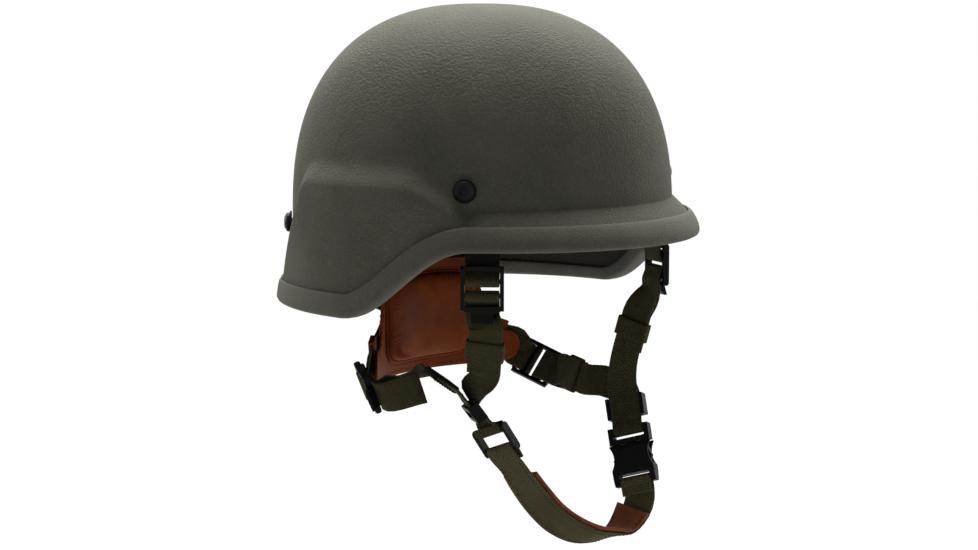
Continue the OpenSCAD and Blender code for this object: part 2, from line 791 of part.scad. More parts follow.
// Places along a strap that keep it straight over a given half length
function straight(half) = [-half - 2, -half - 1, -half, half, half + 1, half + 2];

// Front strap: round the bar below the junction, behind the rear strap in the glide, up
// to its lock, and its free tail
function glide_half(side) = side > 0 ? 7 : 5.5;
glide_depth = 1.9;
layer = web_thick + web_gap;
module front_strap(side) {
    run = front_stretch(side);
    glide = glide_frame(side);
    foot = side > 0 ? plug_frame : slider_frame;
    foot_bar = side > 0 ? 0 : slider_half;
    route = concat(
        [in_frame(foot, foot_bar + 3.5, turn_radius - 0.4, 0, -1)],
        round_bar(foot, foot_bar, 10, -180),
        [for (v = [1.6, 3]) in_frame(foot, foot_bar + v, -turn_radius, 0, 1)],
        [for (v = straight(glide_half(side))) in_frame(glide, v, -glide_depth, 0, 1)],
        [for (v = straight(stretch_length / 2)) in_frame(run, v - stretch_length / 2, 0, 0, 1)],
        lock_turn(front_lock_frame(side)),
        [for (v = straight(stretch_length / 2)) in_frame(run, -v - stretch_length / 2, layer, 0, -1)]
    );
    color("#35331f")
        web(smoothed(route, 3));
}
module front_strap_left() { front_strap(left); }
module front_strap_right() { front_strap(right); }

// Keeper: a flat band round one or more layers of a strap
keeper_length = 12;
keeper_slide = 4;
keeper_thick = 1.2;
front_keeper_drop = [13, 11.5];
module keeper(f, layers) {
    wide = web_width + 2 * web_gap;
    deep = layers * layer + web_gap;
    color("#3d3a28")
        at(f)
            translate([0, 0, (layers - 1) * layer / 2])
                difference() {
                    cube([wide + 2 * keeper_thick, keeper_length, deep + 2 * keeper_thick], center = true);
                    cube([wide, keeper_length + 1, deep], center = true);
                }
}
function keeper_frame(side) = shifted(front_stretch(side), [0, -pick(front_keeper_drop, side), 0]);
module front_keeper_left() { keeper(keeper_frame(left), 2); }
module front_keeper_right() { keeper(keeper_frame(right), 2); }

// Nape pad: an arc about the back of the neck
nape_centre = [45, 0, -61];
nape_back = nape_radius + nape_cushion + web_gap;
function nape_point(a, z, r) = nape_centre + [-r * cos(a), r * sin(a), z];
function nape_out(a) = [-cos(a), sin(a), 0];

// Upper and lower edge of the backing at a turn: full height in the middle, then wings
// whose ends are round
wing_level = -24;
wing_run = 12;
function wing_share(a) = smooth((abs(a) - nape_full_arc + wing_run * 0.4) / wing_run);
function wing_round(a) =
    let (d = max(0, abs(a) - nape_arc + wing_end) / wing_end)
    sqrt(max(0.04, 1 - d * d));
wing_end = nape_wing / 2 / nape_back * 180 / PI;
function nape_high(a) = mix(nape_height / 2, wing_level + nape_wing / 2 * wing_round(a), wing_share(a));
function nape_low(a) = mix(-nape_height / 2, wing_level - nape_wing / 2 * wing_round(a), wing_share(a));
module nape_backing() {
    steps = 36;
    rings = [for (i = [0 : steps])
        let (
            a = nape_arc * sin(-90 + 180 * i / steps),
            high = nape_high(a),
            low = nape_low(a)
        )
        [nape_point(a, low, nape_back), nape_point(a, high, nape_back),
            nape_point(a, high, nape_back + leather), nape_point(a, low, nape_back + leather)]];
    color("#7d4526")
        strip(rings);
}

// Cushion: full in the middle, and drawn in all round at its stitched edge
module nape_cushion_pad() {
    half = nape_height / 2 - nape_border;
    length = nape_full_arc * PI / 180 * nape_back - nape_border * 0.4;
    rounds = 9;
    spokes = 44;
    edge = 1.2;
    seat = nape_back - web_gap;
    function rim_at(t) =
        let (c = cos(t), s = sin(t), p = 0.4)
        [length * sign(c) * pow(abs(c), p), half * sign(s) * pow(abs(s), p)];
    function puff(share) = edge + (nape_cushion - edge) * pow(max(0, 1 - pow(share, 5)), 0.5);
    function on_face(share, t, depth) =
        let (q = rim_at(t) * share)
        nape_point(q[0] / nape_back * 180 / PI, q[1], seat - depth);
    back = [for (share = [0.55, 1]) [for (j = [0 : spokes - 1]) on_face(share, 360 * j / spokes, 0)]];
    face = [for (i = [rounds : -1 : 1]) let (share = sin(90 * i / rounds))
        [for (j = [0 : spokes - 1]) on_face(share, 360 * j / spokes, puff(share))]];
    color("#8a4a28")
        skin(nape_point(0, 0, seat), concat(back, face), nape_point(0, 0, seat - nape_cushion));
}

// Rear hanger: from a rear bolt, across the other hanger behind the nape pad, through a
// loop on the pad, and out to the lock on the far side
loop_wall = 0.8;
cross_gap = web_thick + 2 * web_gap;
strap_back = nape_back + leather + loop_wall + 3 * web_gap + web_thick / 2;
loop_turn = 34;
end_turn = 42;
end_level = -24;
cross_slope = 0.655;
cross_turn = 16;
function nape_level(a) = end_level + (end_turn - a) * cross_slope;
function nape_at(side, a, off) = nape_point(side * a, nape_level(a), strap_back + off);
function nape_station(side, a, off) = station(nape_at(side, a, off), nape_out(side * a));
function rear_route(side) =
    let (
        f = bolt_frames[side > 0 ? 3 : 2],
        top = rear_anchor(-side),
        out = f[3],
        over = side > 0 ? 0 : cross_gap,
        flat = unit(cross([0, 0, -side], out)),
        run = unit(0.3 * flat - f[2])
    )
    concat(
        [for (d = [-hanger_stub, 0, 14, 23]) station(top + d * run, out)],
        [nape_station(side, -cross_turn - 9, over + 4)],
        [for (a = [-cross_turn, -5, 5, cross_turn]) nape_station(side, a, over)],
        [for (a = [27, loop_turn - 3, loop_turn + 3]) nape_station(side, a, 0)],
        [nape_station(side, end_turn, 1.8)]
    );
module rear_hanger(side) {
    f = bolt_frames[side > 0 ? 3 : 2];
    lock = rear_lock_frame(side);
    route = concat(rear_route(side), [
        in_frame(lock, half_lock + 3, -behind_one - 0.5, 0, 1),
        in_frame(lock, half_lock - bar_clear, -behind_one - 0.2, 0, 1)
    ], round_bar(lock, bar_place, 55, -150, 1));
    color("#35331f")
        difference() {
            web(smoothed(route, 2));
            at(f)
                translate([0, 0, -hanger_depth - 4])
                    cylinder(d = web_hole, h = 8);
        }
}
module rear_hanger_left() { rear_hanger(left); }
module rear_hanger_right() { rear_hanger(right); }

// Leather loops that hold the rear hangers to the back of the nape pad
module nape_loops() {
    wide = web_width + 3 * web_gap;
    deep = web_thick + 2 * web_gap;
    for (side = sides) {
        middle = nape_at(side, loop_turn, 0);
        f = frame(middle, nape_out(side * loop_turn), nape_at(side, loop_turn + 2, 0) - middle);
        color("#6b3a20")
            at(f)
                difference() {
                    cube([wide + 4, 10, deep + 2 * loop_wall], center = true);
                    cube([wide, 12, deep], center = true);
                }
    }
}

// Rear strap: from the junction to its lock and back as a free tail
rear_turn = [[12, 20, 4], [-1.4, 12.5, 2]];
tail_end = [[14, 13.5, -5], [26, 9, 6]];
tail_face = [[0.7, -0.6, 0.2], [-0.48, 0.87, 0.15]];
module rear_strap(side) {
    lock = rear_lock_frame(side);
    glide = glide_frame(side);
    run = rear_stretch(side);
    low = to_world(lock, [0, -half_lock - 2, -behind_two]);
    route = concat(
        [for (v = straight(glide_half(side))) if (v > -glide_half(side) - 0.5) in_frame(glide, v, glide_depth, 0, 1)],
        [station(to_world(glide, pick(rear_turn, side)), glide[3])],
        [for (v = straight(keeper_length / 2 + keeper_slide + 0.5)) in_frame(run, v, 0, 0, 1)],
        lock_turn(lock),
        [station(low + pick(tail_end, side), pick(tail_face, side))]
    );
    color("#3b3826")
        web(smoothed(route, 3));
}
module rear_strap_left() { rear_strap(left); }
module rear_strap_right() { rear_strap(right); }
module rear_keeper_left() { keeper(rear_stretch(left), 1); }
module rear_keeper_right() { keeper(rear_stretch(right), 1); }

// Three bar glide that gathers the front and rear straps
module glide(f, half) {
    front = glide_depth + web_thick / 2 + web_gap;
    cover = 1.8;
    back = glide_depth + web_thick / 2;
    color("#1b1b1b")
        at(f) {
            for (s = sides)
                translate([s * (lock_inner + lock_rail) / 2, 0, (front + cover - back) / 2])
                    cube([lock_rail, 2 * half, front + cover + back], center = true);
            for (s = sides)
                translate([0, s * (half - 1.5), front + cover / 2])
                    cube([lock_inner + 1, 3, cover], center = true);
            cube([lock_inner + 1, 3, 2 * (glide_depth - web_thick / 2 - web_gap)], center = true);
        }
}
module junction_glide_left() { glide(glide_frame(left), glide_half(left)); }
module junction_glide_right() { glide(glide_frame(right), glide_half(right)); }

// Plug of the buckle: a base with the webbing's bar, and a guide down its middle
arm_place = buckle_width / 2 - 4.2;
arm_root = 2.2;
arm_pin = 2;
guide_width = 7;
module buckle_plug() {
    cheek = (buckle_width - lock_inner) / 2;
    deep = 6.4;
    color("#191919")
        at(plug_frame) {
            translate([-lock_inner / 2 - 1, 0, 0])
                rotate([0, 90, 0])
                    cylinder(d = lock_bar, h = lock_inner + 2);
            difference() {
                union() {
                    for (s = sides)
                        translate([s * (lock_inner + cheek) / 2, -base_length / 2 + 0.3, 0])
                            cube([cheek, base_length + 3.8, deep], center = true);
                    translate([0, -base_length, 0])
                        cube([buckle_width, 3.2, deep], center = true);
                }
                for (s = sides)
                    translate([s * arm_place, -base_length, 0])
                        cube([2 * arm_root + 1.4, 2 * arm_root + 1.4, plug_thick + 0.8], center = true);
            }
            for (s = sides)
                translate([s * arm_place, -base_length, 0])
                    cylinder(d = arm_pin, h = deep, center = true);
            translate([0, -base_length - plug_length / 2, 0])
                cube([guide_width, plug_length, plug_thick], center = true);
        }
}

// Arm of the plug, which swings in about its root when its tip is pressed
module prong(s) {
    color("#202020")
        at(shifted(plug_frame, [s * arm_place, -base_length, 0]))
            difference() {
                translate([0, 0, -plug_thick / 2])
                    linear_extrude(plug_thick)
                        mirror([s > 0 ? 0 : 1, 0])
                            arm_outline();
                cylinder(d = arm_pin + 0.4, h = plug_thick + 2, center = true);
            }
}

// Outline of the arm: a round root, a slim stem, and a barbed tip
module arm_outline() {
    reach = plug_length + 0.5;
    circle(r = arm_root);
    polygon([
        [-1.5, 0], [-1.1, -0.4 * reach], [-0.6, -0.72 * reach], [0.6, -0.97 * reach],
        [2, -reach], [3.2, -0.88 * reach], [3.8, -0.74 * reach], [2.9, -0.66 * reach],
        [2.2, -0.45 * reach], [1.7, -0.2 * reach], [1.6, 0]
    ]);
}
module prong_front() { prong(right); }
module prong_rear() { prong(left); }

// Slider: two bars between two rails. The chin strap swings on the lower one
module chin_slider() {
    color("#1b1b1b")
        at(slider_frame) {
            for (s = sides)
                translate([s * (lock_inner + lock_rail) / 2 - lock_rail / 2, 0, 0])
                    rotate([90, 0, 90])
                        linear_extrude(lock_rail) {
                            square([2 * slider_half, 5], center = true);
                            for (e = sides)
                                translate([e * slider_half, 0])
                                    circle(d = 5);
                        }
            for (e = sides)
                translate([-lock_inner / 2 - 0.5, e * slider_half, 0])
                    rotate([0, 90, 0])
                        cylinder(d = lock_bar, h = lock_inner + 1);
        }
}

// Socket of the buckle: two plates over the plug, open at both sides for its arms,
// then a solid end and the bar that the chin strap turns round
module buckle_socket() {
    hollow = plug_thick + 2 * plug_gap;
    depth = base_length + plug_length + 2 - mouth;
    window = depth + 4.4;
    waist = 13;
    color("#161616")
        at(shifted(plug_frame, [0, -mouth, 0])) {
            difference() {
                intersection() {
                    translate([0, 0, -socket_thick])
                        linear_extrude(2 * socket_thick)
                            difference() {
                                translate([-buckle_width / 2 - 0.4, -socket_length])
                                    square([buckle_width + 0.8, socket_length]);
                                for (s = sides)
                                    translate([s * (buckle_width / 2 + waist - 2), -depth * 0.55])
                                        circle(r = waist, $fn = 64);
                            }
                    rotate([90, 0, 90])
                        translate([0, 0, -buckle_width])
                            linear_extrude(2 * buckle_width)
                                socket_side();
                }
                translate([-buckle_width, -depth, -hollow / 2])
                    cube([2 * buckle_width, depth + 1, hollow]);
                translate([-lock_inner / 2, -socket_length - 1, -socket_thick])
                    cube([lock_inner, socket_length + 1 - window, 2 * socket_thick]);
            }
            translate([-lock_inner / 2 - 0.5, mouth - socket_bar, 0])
                rotate([0, 90, 0])
                    cylinder(d = lock_bar, h = lock_inner + 1);
        }
}

// Side view of the socket, thinner at its mouth and rounded at its end
module socket_side() {
    half = socket_thick / 2;
    polygon([
        [0, -half + 0.5], [0, half - 0.5], [-3, half], [-socket_length * 0.7, half],
        [-socket_length + 3, half * 0.85], [-socket_length, half * 0.55],
        [-socket_length, -half * 0.55], [-socket_length + 3, -half * 0.85],
        [-socket_length * 0.7, -half], [-3, -half]
    ]);
}

// Chin strap: round the slider's bar, under the chin, and round the socket's bar
chin_sag = 42;
chin_forward = 3;
chin_shape = [
    [0.19, 0.58, -62, -34], [0.29, 0.78, -48, -46], [0.43, 0.95, -24, -52],
    [0.66, 1, 25, -60], [0.845, 0.84, 78, -36]
];
chin_run = concat(
    [in_frame(slider_frame, -slider_half - 12, 0.6, 0, 1)],
    [for (c = chin_shape)
        station(mix(pivot, socket_end, c[0]) + [chin_forward, 0, -chin_sag * c[1]], aim(c[2], c[3]))],
    [in_frame(plug_frame, -socket_bar - 12, 0.6, 0, 1)]
);
module chin_strap() {
    route = concat(
        [in_frame(slider_frame, -slider_half - 9, -turn_radius + 0.6, 0, -1)],
        round_bar(slider_frame, -slider_half, 190, 0, 1),
        chin_run,
        round_bar(plug_frame, -socket_bar, 0, 190, 1),
        [in_frame(plug_frame, -socket_bar - 9, -turn_radius + 0.6, 0, -1)]
    );
    color("#3a3824")
        web(smoothed(route, 2));
}

// Suede lining on the inside of the chin strap
module chin_lining() {
    route = smoothed(chin_run, 4);
    color("#8a4f2c")
        web([for (i = [3 : len(route) - 3]) route[i]], lining_width, leather,
            -(web_thick + leather) / 2 - web_gap - 0.35);
}

shell();
edge_trim();
bolts();
bolt_washers();
post_nuts();
cradle_band();
crown_straps();
crown_cord();
headband();
headband_clips();
front_hanger_left();
front_hanger_right();
front_loop_left();
front_loop_right();
front_lock_left();
front_lock_right();
front_strap_left();
front_strap_right();
front_keeper_left();
front_keeper_right();
rear_hanger_left();
rear_hanger_right();
rear_lock_left();
rear_lock_right();
rear_strap_left();
rear_strap_right();
rear_keeper_left();
rear_keeper_right();
nape_backing();
nape_cushion_pad();
nape_loops();
junction_glide_left();
junction_glide_right();
buckle_plug();
prong_front();
prong_rear();
chin_slider();
buckle_socket();
chin_strap();
chin_lining();
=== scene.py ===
import json
import bmesh
import bpy
import numpy as np
from mathutils import Matrix, Vector


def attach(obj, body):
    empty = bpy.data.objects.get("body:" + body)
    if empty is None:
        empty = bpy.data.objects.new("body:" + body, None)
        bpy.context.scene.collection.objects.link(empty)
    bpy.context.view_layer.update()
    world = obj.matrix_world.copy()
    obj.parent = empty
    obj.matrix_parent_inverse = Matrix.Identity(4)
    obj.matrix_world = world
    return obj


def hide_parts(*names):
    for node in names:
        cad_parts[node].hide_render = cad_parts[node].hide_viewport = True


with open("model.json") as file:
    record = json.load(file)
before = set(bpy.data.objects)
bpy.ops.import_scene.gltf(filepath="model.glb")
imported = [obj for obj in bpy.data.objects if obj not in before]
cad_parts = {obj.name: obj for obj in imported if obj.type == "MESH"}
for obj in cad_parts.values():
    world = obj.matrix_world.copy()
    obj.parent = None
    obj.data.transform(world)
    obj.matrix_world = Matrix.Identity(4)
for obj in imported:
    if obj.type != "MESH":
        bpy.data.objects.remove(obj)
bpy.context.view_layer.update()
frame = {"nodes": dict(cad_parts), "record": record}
nodes, record = frame["nodes"], frame["record"]
bodyOf = {node: body for body, group in record["behaviour"]["bodies"].items() for node in group}
print("frame loaded:", len(nodes), "nodes")

# lengths are in millimetres until a mesh is made, and angles are in degrees
metres = 0.001
left, right = 1, -1
sides = ((left, "Left"), (right, "Right"))
shellSizes = dict(
    domeFront=121.0, domeRear=120.0, domeSide=115.0, domeRise=129.5, domeLevel=9.0, domePower=2.44,
    wall=9.0, rimFront=138.5, rimSide=125.5, rimRear=125.0, creaseLevel=21.0, skirtDrop=42.5,
    stepStart=2.0, stepRun=80.0, skirtFlare=34.0, brimStart=30.0, brimRun=45.0,
    earRise=7.6, earTop=40.0, earFront=56.0, earRear=-50.0, earEase=16.0, earCorner=28.0,
    earFrontDrop=5.0, earFrontLean=0.87, earRearDrop=18.0, earRearLean=0.56)
webSizes = dict(width=20.0, thick=1.5, gap=0.3, bar=3.0, slit=1.8, lockHeight=26.4, lockThick=4.0)
webWide, webThick, webGap = webSizes["width"], webSizes["thick"], webSizes["gap"]
sewn = webThick / 2 + 0.05  # how far a stitch lies from the middle of a strap's thickness


def smooth(v):
    # 3c^2 - 2c^3, where c is v held between 0 and 1
    c = np.clip(v, 0, 1)
    return c * c * (3 - 2 * c)


def mix(a, b, t):
    # a + (b - a) * t
    return a + (b - a) * t


def unit(v):
    # v / |v|
    v = np.asarray(v, float)
    return v / np.maximum(np.linalg.norm(v, axis=-1, keepdims=True), 1e-9)


def cosd(a):
    # cosine of degrees
    return np.cos(np.radians(a))


def sind(a):
    # sine of degrees
    return np.sin(np.radians(a))


def aim(turn, rise=0.0):
    # direction at a turn about Z and a rise above level: (cos turn cos rise, sin turn cos rise, sin rise)
    level, up = cosd(rise), sind(rise) + 0.0 * np.asarray(turn)
    return np.stack([cosd(turn) * level, sind(turn) * level, up], axis=-1)


def oval(front, side, rear, a):
    # radius = 1 / sqrt((cos / half length)^2 + (sin / side)^2), with its own half length at each end
    half = np.where(cosd(a) > 0, front, rear)
    return 1 / np.sqrt((cosd(a) / half) ** 2 + (sind(a) / side) ** 2)


def frameOf(p, out, down):
    # rows: place, across = up x outward, up = -down, outward = out less its part along up
    y = -unit(down)
    out = np.asarray(out, float)
    z = unit(out - (out @ y) * y)
    return np.array([p, np.cross(y, z), y, z], float)


def toWorld(f, q):
    # place + q measured along the frame's three directions
    return f[0] + np.asarray(q, float) @ f[1:]


def shifted(f, q):
    # the same directions at another place
    return np.array([toWorld(f, q), *f[1:]])


def station(p, out):
    # one stop of a strap: its place, then the direction that its face looks in
    return np.concatenate([np.asarray(p, float), np.asarray(out, float)])


def inFrame(f, v, w, outV, outW):
    # a stop at v up and w outward in a frame, whose face looks outV up and outW outward
    return station(toWorld(f, [0, v, w]), np.array([0, outV, outW], float) @ f[1:])


def distances(p):
    # running length along a line of points
    return np.concatenate([[0], np.cumsum(np.linalg.norm(np.diff(p, axis=0), axis=1))])


def valuesAt(at, length, values):
    # values kept beside a line of points, read at other distances along it
    return np.stack([np.interp(at, length, values[:, k]) for k in range(values.shape[1])], -1)


def curveThrough(stops, steps):
    # Hermite curve through the stops, whose slopes follow the chords on both sides
    p = np.array(stops, float)
    n = len(p)
    b, c = p[:-1], p[1:]
    a, d = p[np.maximum(np.arange(n - 1) - 1, 0)], p[np.minimum(np.arange(n - 1) + 2, n - 1)]

    def span(u, v):
        # distance between two stops' places
        return np.linalg.norm((v - u)[:, :3], axis=1, keepdims=True)

    def slope(turn, beside):
        # (chord * beside + neighbour * here^2 / beside) / (here + beside)
        safe = np.maximum(beside, 1e-9)
        return np.where(beside == 0, c - b, ((c - b) * beside + turn * here ** 2 / safe) / (here + beside))

    here = span(b, c)
    leave, arrive = slope(b - a, span(a, b)), slope(d - c, span(c, d))
    t = (np.arange(steps) / steps)[None, :, None]
    pts = (b[:, None] + (c - b)[:, None] * t * t * (3 - 2 * t) + leave[:, None] * t * (1 - t) ** 2
           - arrive[:, None] * t * t * (1 - t))
    return np.concatenate([pts.reshape(-1, 6), p[-1:]])


def feed(tree, node, inputs):
    # each input takes a plain value or another node's output
    for label, value in inputs.items():
        if isinstance(value, bpy.types.NodeSocket):
            tree.links.new(value, node.inputs[label])
        else:
            node.inputs[label].default_value = value
    return node


def addNode(tree, kind, inputs=None, **settings):
    # a shader node with its settings and its inputs
    node = tree.nodes.new("ShaderNode" + kind)
    for label, value in settings.items():
        setattr(node, label, value)
    return feed(tree, node, inputs or {})


def newGroup(name, inputs, outputs):
    # an empty node group: inputs are numbers with a start value, or a vector where there is none
    tree = bpy.data.node_groups.new(name, "ShaderNodeTree")
    for label, value in inputs.items():
        kind = "NodeSocketVector" if value is None else "NodeSocketFloat"
        socket = tree.interface.new_socket(name=label, in_out="INPUT", socket_type=kind)
        if value is not None:
            socket.default_value = value
    for label in outputs:
        tree.interface.new_socket(name=label, in_out="OUTPUT", socket_type="NodeSocketFloat")
    return tree, tree.nodes.new("NodeGroupInput").outputs, tree.nodes.new("NodeGroupOutput")


def math(tree, kind, *values):
    # the named operation on one to three values
    return addNode(tree, "Math", dict(enumerate(values)), operation=kind).outputs[0]


def noise(tree, vector, scale, detail=3.0, rough=0.55):
    # fractal noise between 0 and 1
    values = {"Vector": vector, "Scale": scale, "Detail": detail, "Roughness": rough}
    return addNode(tree, "TexNoise", values).outputs["Fac"]


def spread(tree, value, low, high, toLow=0.0, toHigh=1.0):
    # toLow + (toHigh - toLow) * (value - low) / (high - low), held at both ends
    values = {"Value": value, "From Min": low, "From Max": high, "To Min": toLow, "To Max": toHigh}
    return addNode(tree, "MapRange", values, clamp=True).outputs["Result"]


def tint(tree, share, colourA, colourB):
    # colourA + (colourB - colourA) * share; 6 and 7 are the node's two colours, and 2 is its colour output
    return addNode(tree, "Mix", {0: share, 6: colourA, 7: colourB}, data_type="RGBA").outputs[2]


def weaveGroup():
    # ribs in a zigzag across the strap with finer yarns along it: height = rib^0.6 * (0.6 + 0.4 * yarn),
    # rib = |sin(pi * (along + 0.8 * zigzag) / rib spacing)| and yarn = |sin(pi * across / yarn spacing)|
    inputs = dict(Map=None, Rib=0.0016, Yarn=0.0007, Zigzag=0.004)
    tree, given, result = newGroup("webbingWeave", inputs, ("Height", "Fibre"))
    across, along = addNode(tree, "SeparateXYZ", {0: given["Map"]}).outputs[:2]
    halfTurn = 3.14159

    def ridges(value, spacing):
        # |sin(pi * value / spacing)|
        waves = math(tree, "MULTIPLY", math(tree, "DIVIDE", value, spacing), halfTurn)
        return math(tree, "ABSOLUTE", math(tree, "SINE", waves))

    zigzag = math(tree, "MULTIPLY", math(tree, "PINGPONG", across, given["Zigzag"]), 0.8)
    rib = math(tree, "POWER", ridges(math(tree, "ADD", along, zigzag), given["Rib"]), 0.6)
    yarn = math(tree, "MULTIPLY_ADD", ridges(across, given["Yarn"]), 0.4, 0.6)
    fibre = noise(tree, given["Map"], 900.0, 4.0, 0.7)
    feed(tree, result, {"Height": math(tree, "MULTIPLY", rib, yarn), "Fibre": fibre})
    return tree


def grainGroup():
    # leather: height = 0.3 * crease + 0.7 * pebble, where pebble grows from the edges of small cells
    tree, given, result = newGroup("leatherGrain", dict(Place=None, Cells=700.0), ("Height", "Blotch"))
    where = given["Place"]
    values = {"Vector": where, "Scale": given["Cells"]}
    cells = addNode(tree, "TexVoronoi", values, feature="DISTANCE_TO_EDGE")
    pebble = math(tree, "MULTIPLY", spread(tree, cells.outputs["Distance"], 0.0, 0.22), 0.7)
    crease = spread(tree, noise(tree, where, 160.0, 4.0, 0.6), 0.35, 0.6)
    feed(tree, result, {"Height": math(tree, "MULTIPLY_ADD", crease, 0.3, pebble),
                        "Blotch": noise(tree, where, 38.0, 4.0, 0.6)})
    return tree


def sandGroup():
    # paint with sand in it: height = 0.7 * sharp fine grains + 0.5 * coarse noise, under slow clouds
    outputs = ("Height", "GrainHighlight", "Cloud")
    tree, given, result = newGroup("sandedPaint", dict(Place=None, Grain=900.0), outputs)
    where = given["Place"]
    fine = noise(tree, where, given["Grain"], 2.0, 0.6)
    coarse = math(tree, "MULTIPLY", noise(tree, where, 260.0, 3.0, 0.6), 0.5)
    # the lighter specks on the tops of the fine grains are a painted highlight
    feed(tree, result, {"Height": math(tree, "MULTIPLY_ADD", spread(tree, fine, 0.35, 0.7), 0.7, coarse),
                        "GrainHighlight": spread(tree, fine, 0.5, 0.72),
                        "Cloud": noise(tree, where, 22.0, 4.0, 0.55)})
    return tree


weave, grain, sand = weaveGroup(), grainGroup(), sandGroup()


def startMaterial(name, roughness, metallic=0.0, sheen=0.0, specular=0.08):
    # a material whose even values stand on its shader's own sockets
    material = bpy.data.materials.new(name)
    material.use_nodes = True
    tree = material.node_tree
    values = {"Roughness": roughness, "Metallic": metallic, "Sheen Weight": sheen,
              "Specular IOR Level": specular}
    return material, tree, feed(tree, tree.nodes["Principled BSDF"], values)


def place(tree):
    # the point's place on the object, in metres
    return addNode(tree, "TexCoord").outputs["Object"]


def bump(tree, shader, height, depth):
    # relief of the given depth, in metres
    node = addNode(tree, "Bump", {"Strength": 1.0, "Distance": depth, "Height": height})
    feed(tree, shader, {"Normal": node.outputs["Normal"]})


def lighter(tone, times):
    # each part of a colour made brighter, up to 1
    return tuple(min(1.0, c * times) for c in tone[:3]) + (1,)


def webbingMaterial(name, dark, light):
    # colour = dark to light by the weave's height, a painted shade in the weave's hollows, half as light
    # again where worn, darker along some fibres
    material, tree, shader = startMaterial(name, 0.9, sheen=0.03)
    uv = addNode(tree, "UVMap", uv_map="strapMap")
    cloth = addNode(tree, "Group", {"Map": uv.outputs[0]}, node_tree=weave).outputs
    height, fibre = cloth["Height"], cloth["Fibre"]
    wear = spread(tree, noise(tree, place(tree), 30.0), 0.45, 0.75, 0.0, 0.35)
    worn = tint(tree, wear, tint(tree, height, dark, light), lighter(light, 1.5))
    feed(tree, shader, {"Base Color": tint(tree, spread(tree, fibre, 0.3, 0.8, 0.0, 0.3), worn, dark)})
    bump(tree, shader, height, 0.00035)
    return material


def leatherMaterial(name, dark, light, roughness=0.5, cells=900.0, depth=0.00012, sheen=0.0):
    # colour = dark to light by slow blotches, with painted shade in the grain's creases and hollows;
    # roughness rises with the blotches
    material, tree, shader = startMaterial(name, roughness, sheen=sheen)
    hide = addNode(tree, "Group", {"Cells": cells, "Place": place(tree)}, node_tree=grain).outputs
    height, blotch = hide["Height"], hide["Blotch"]
    base = tint(tree, spread(tree, blotch, 0.3, 0.7), dark, light)
    feed(tree, shader, {"Base Color": tint(tree, spread(tree, height, 0.0, 0.5, 0.35, 0.0), base, dark),
                        "Roughness": spread(tree, blotch, 0.3, 0.75, roughness - 0.06, roughness + 0.14)})
    bump(tree, shader, height, depth)
    return material


def paintMaterial(name, dark, light, grainSize=620.0, depth=0.0005, roughness=0.82):
    # colour = dark to light by slow clouds, with painted highlights as lighter specks on the tops of the
    # grains
    material, tree, shader = startMaterial(name, roughness, specular=0.12)
    paint = addNode(tree, "Group", {"Grain": grainSize, "Place": place(tree)}, node_tree=sand).outputs
    base = tint(tree, spread(tree, paint["Cloud"], 0.35, 0.65), dark, light)
    grainHighlight = math(tree, "MULTIPLY", paint["GrainHighlight"], 0.35)
    feed(tree, shader, {"Base Color": tint(tree, grainHighlight, base, lighter(light, 1.45))})
    bump(tree, shader, paint["Height"], depth)
    return material


def mouldedMaterial(name, dark, light, roughness=0.42, metallic=0.0):
    # colour and roughness follow slow smears, over a very fine grain
    material, tree, shader = startMaterial(name, roughness, metallic=metallic)
    where = place(tree)
    smear = noise(tree, where, 140.0, 4.0)
    feed(tree, shader, {"Base Color": tint(tree, spread(tree, smear, 0.35, 0.7), dark, light),
                        "Roughness": spread(tree, smear, 0.3, 0.7, roughness - 0.08, roughness + 0.14)})
    bump(tree, shader, noise(tree, where, 1500.0, 2.0), 0.00004)
    return material


def threadMaterial(name, dark, light):
    # colour = dark to light by fine bands, as on twisted yarn, darker where the twist's relief is low:
    # painted shade in its grooves
    material, tree, shader = startMaterial(name, 0.85, sheen=0.05)
    values = {"Scale": 900.0, "Distortion": 1.5, "Vector": place(tree)}
    twist = addNode(tree, "TexWave", values).outputs["Fac"]
    feed(tree, shader, {"Base Color": tint(tree, twist, dark, light)})
    bump(tree, shader, twist, 0.00008)
    return material


def colour(r, g, b):
    # screen values 0 to 255 to linear: ((c + 0.055) / 1.055)^2.4, or c / 12.92 where dark
    c = np.array([r, g, b]) / 255.0
    c = np.where(c <= 0.04045, c / 12.92, ((c + 0.055) / 1.055) ** 2.4)
    return tuple(float(v) for v in c) + (1.0,)


shellTones = colour(80, 80, 70), colour(90, 89, 79)
shellPaint = paintMaterial("shellPaint", *shellTones)
# a darker copy of the shell paint for the inner face: painted shade inside the shell
shadedInsidePaint = paintMaterial("shadedInsidePaint", colour(44, 44, 37), colour(54, 53, 45))
edgePaint = paintMaterial("edgePaint", *shellTones, grainSize=800.0, depth=0.0003, roughness=0.7)
oliveWeb = webbingMaterial("oliveWeb", colour(40, 37, 21), colour(72, 68, 45))
# a lighter copy of the olive webbing for the chin strap: painted light, as the chin strap catches more light
# from the front
litChinWeb = webbingMaterial("litChinWeb", colour(60, 56, 36), colour(98, 92, 66))
blackWeb = webbingMaterial("blackWeb", colour(8, 8, 9), colour(22, 22, 24))
napeLeather = leatherMaterial("napeLeather", colour(92, 38, 10), colour(130, 62, 22))
bandLeather = leatherMaterial("bandLeather", colour(104, 66, 36), colour(132, 88, 54))
chinSuede = leatherMaterial("chinSuede", colour(108, 54, 26), colour(146, 82, 46),
                            roughness=0.85, cells=1200.0, depth=0.0001, sheen=0.15)
blackPlastic = mouldedMaterial("blackPlastic", colour(7, 7, 8), colour(14, 14, 15))
boltBlack = mouldedMaterial("boltBlack", colour(18, 18, 19), colour(36, 36, 38), 0.34, 0.5)
postSteel = mouldedMaterial("postSteel", colour(60, 60, 58), colour(90, 90, 86), 0.45, 0.8)
washerRubber = mouldedMaterial("washerRubber", colour(20, 20, 20), colour(34, 34, 34), 0.75)
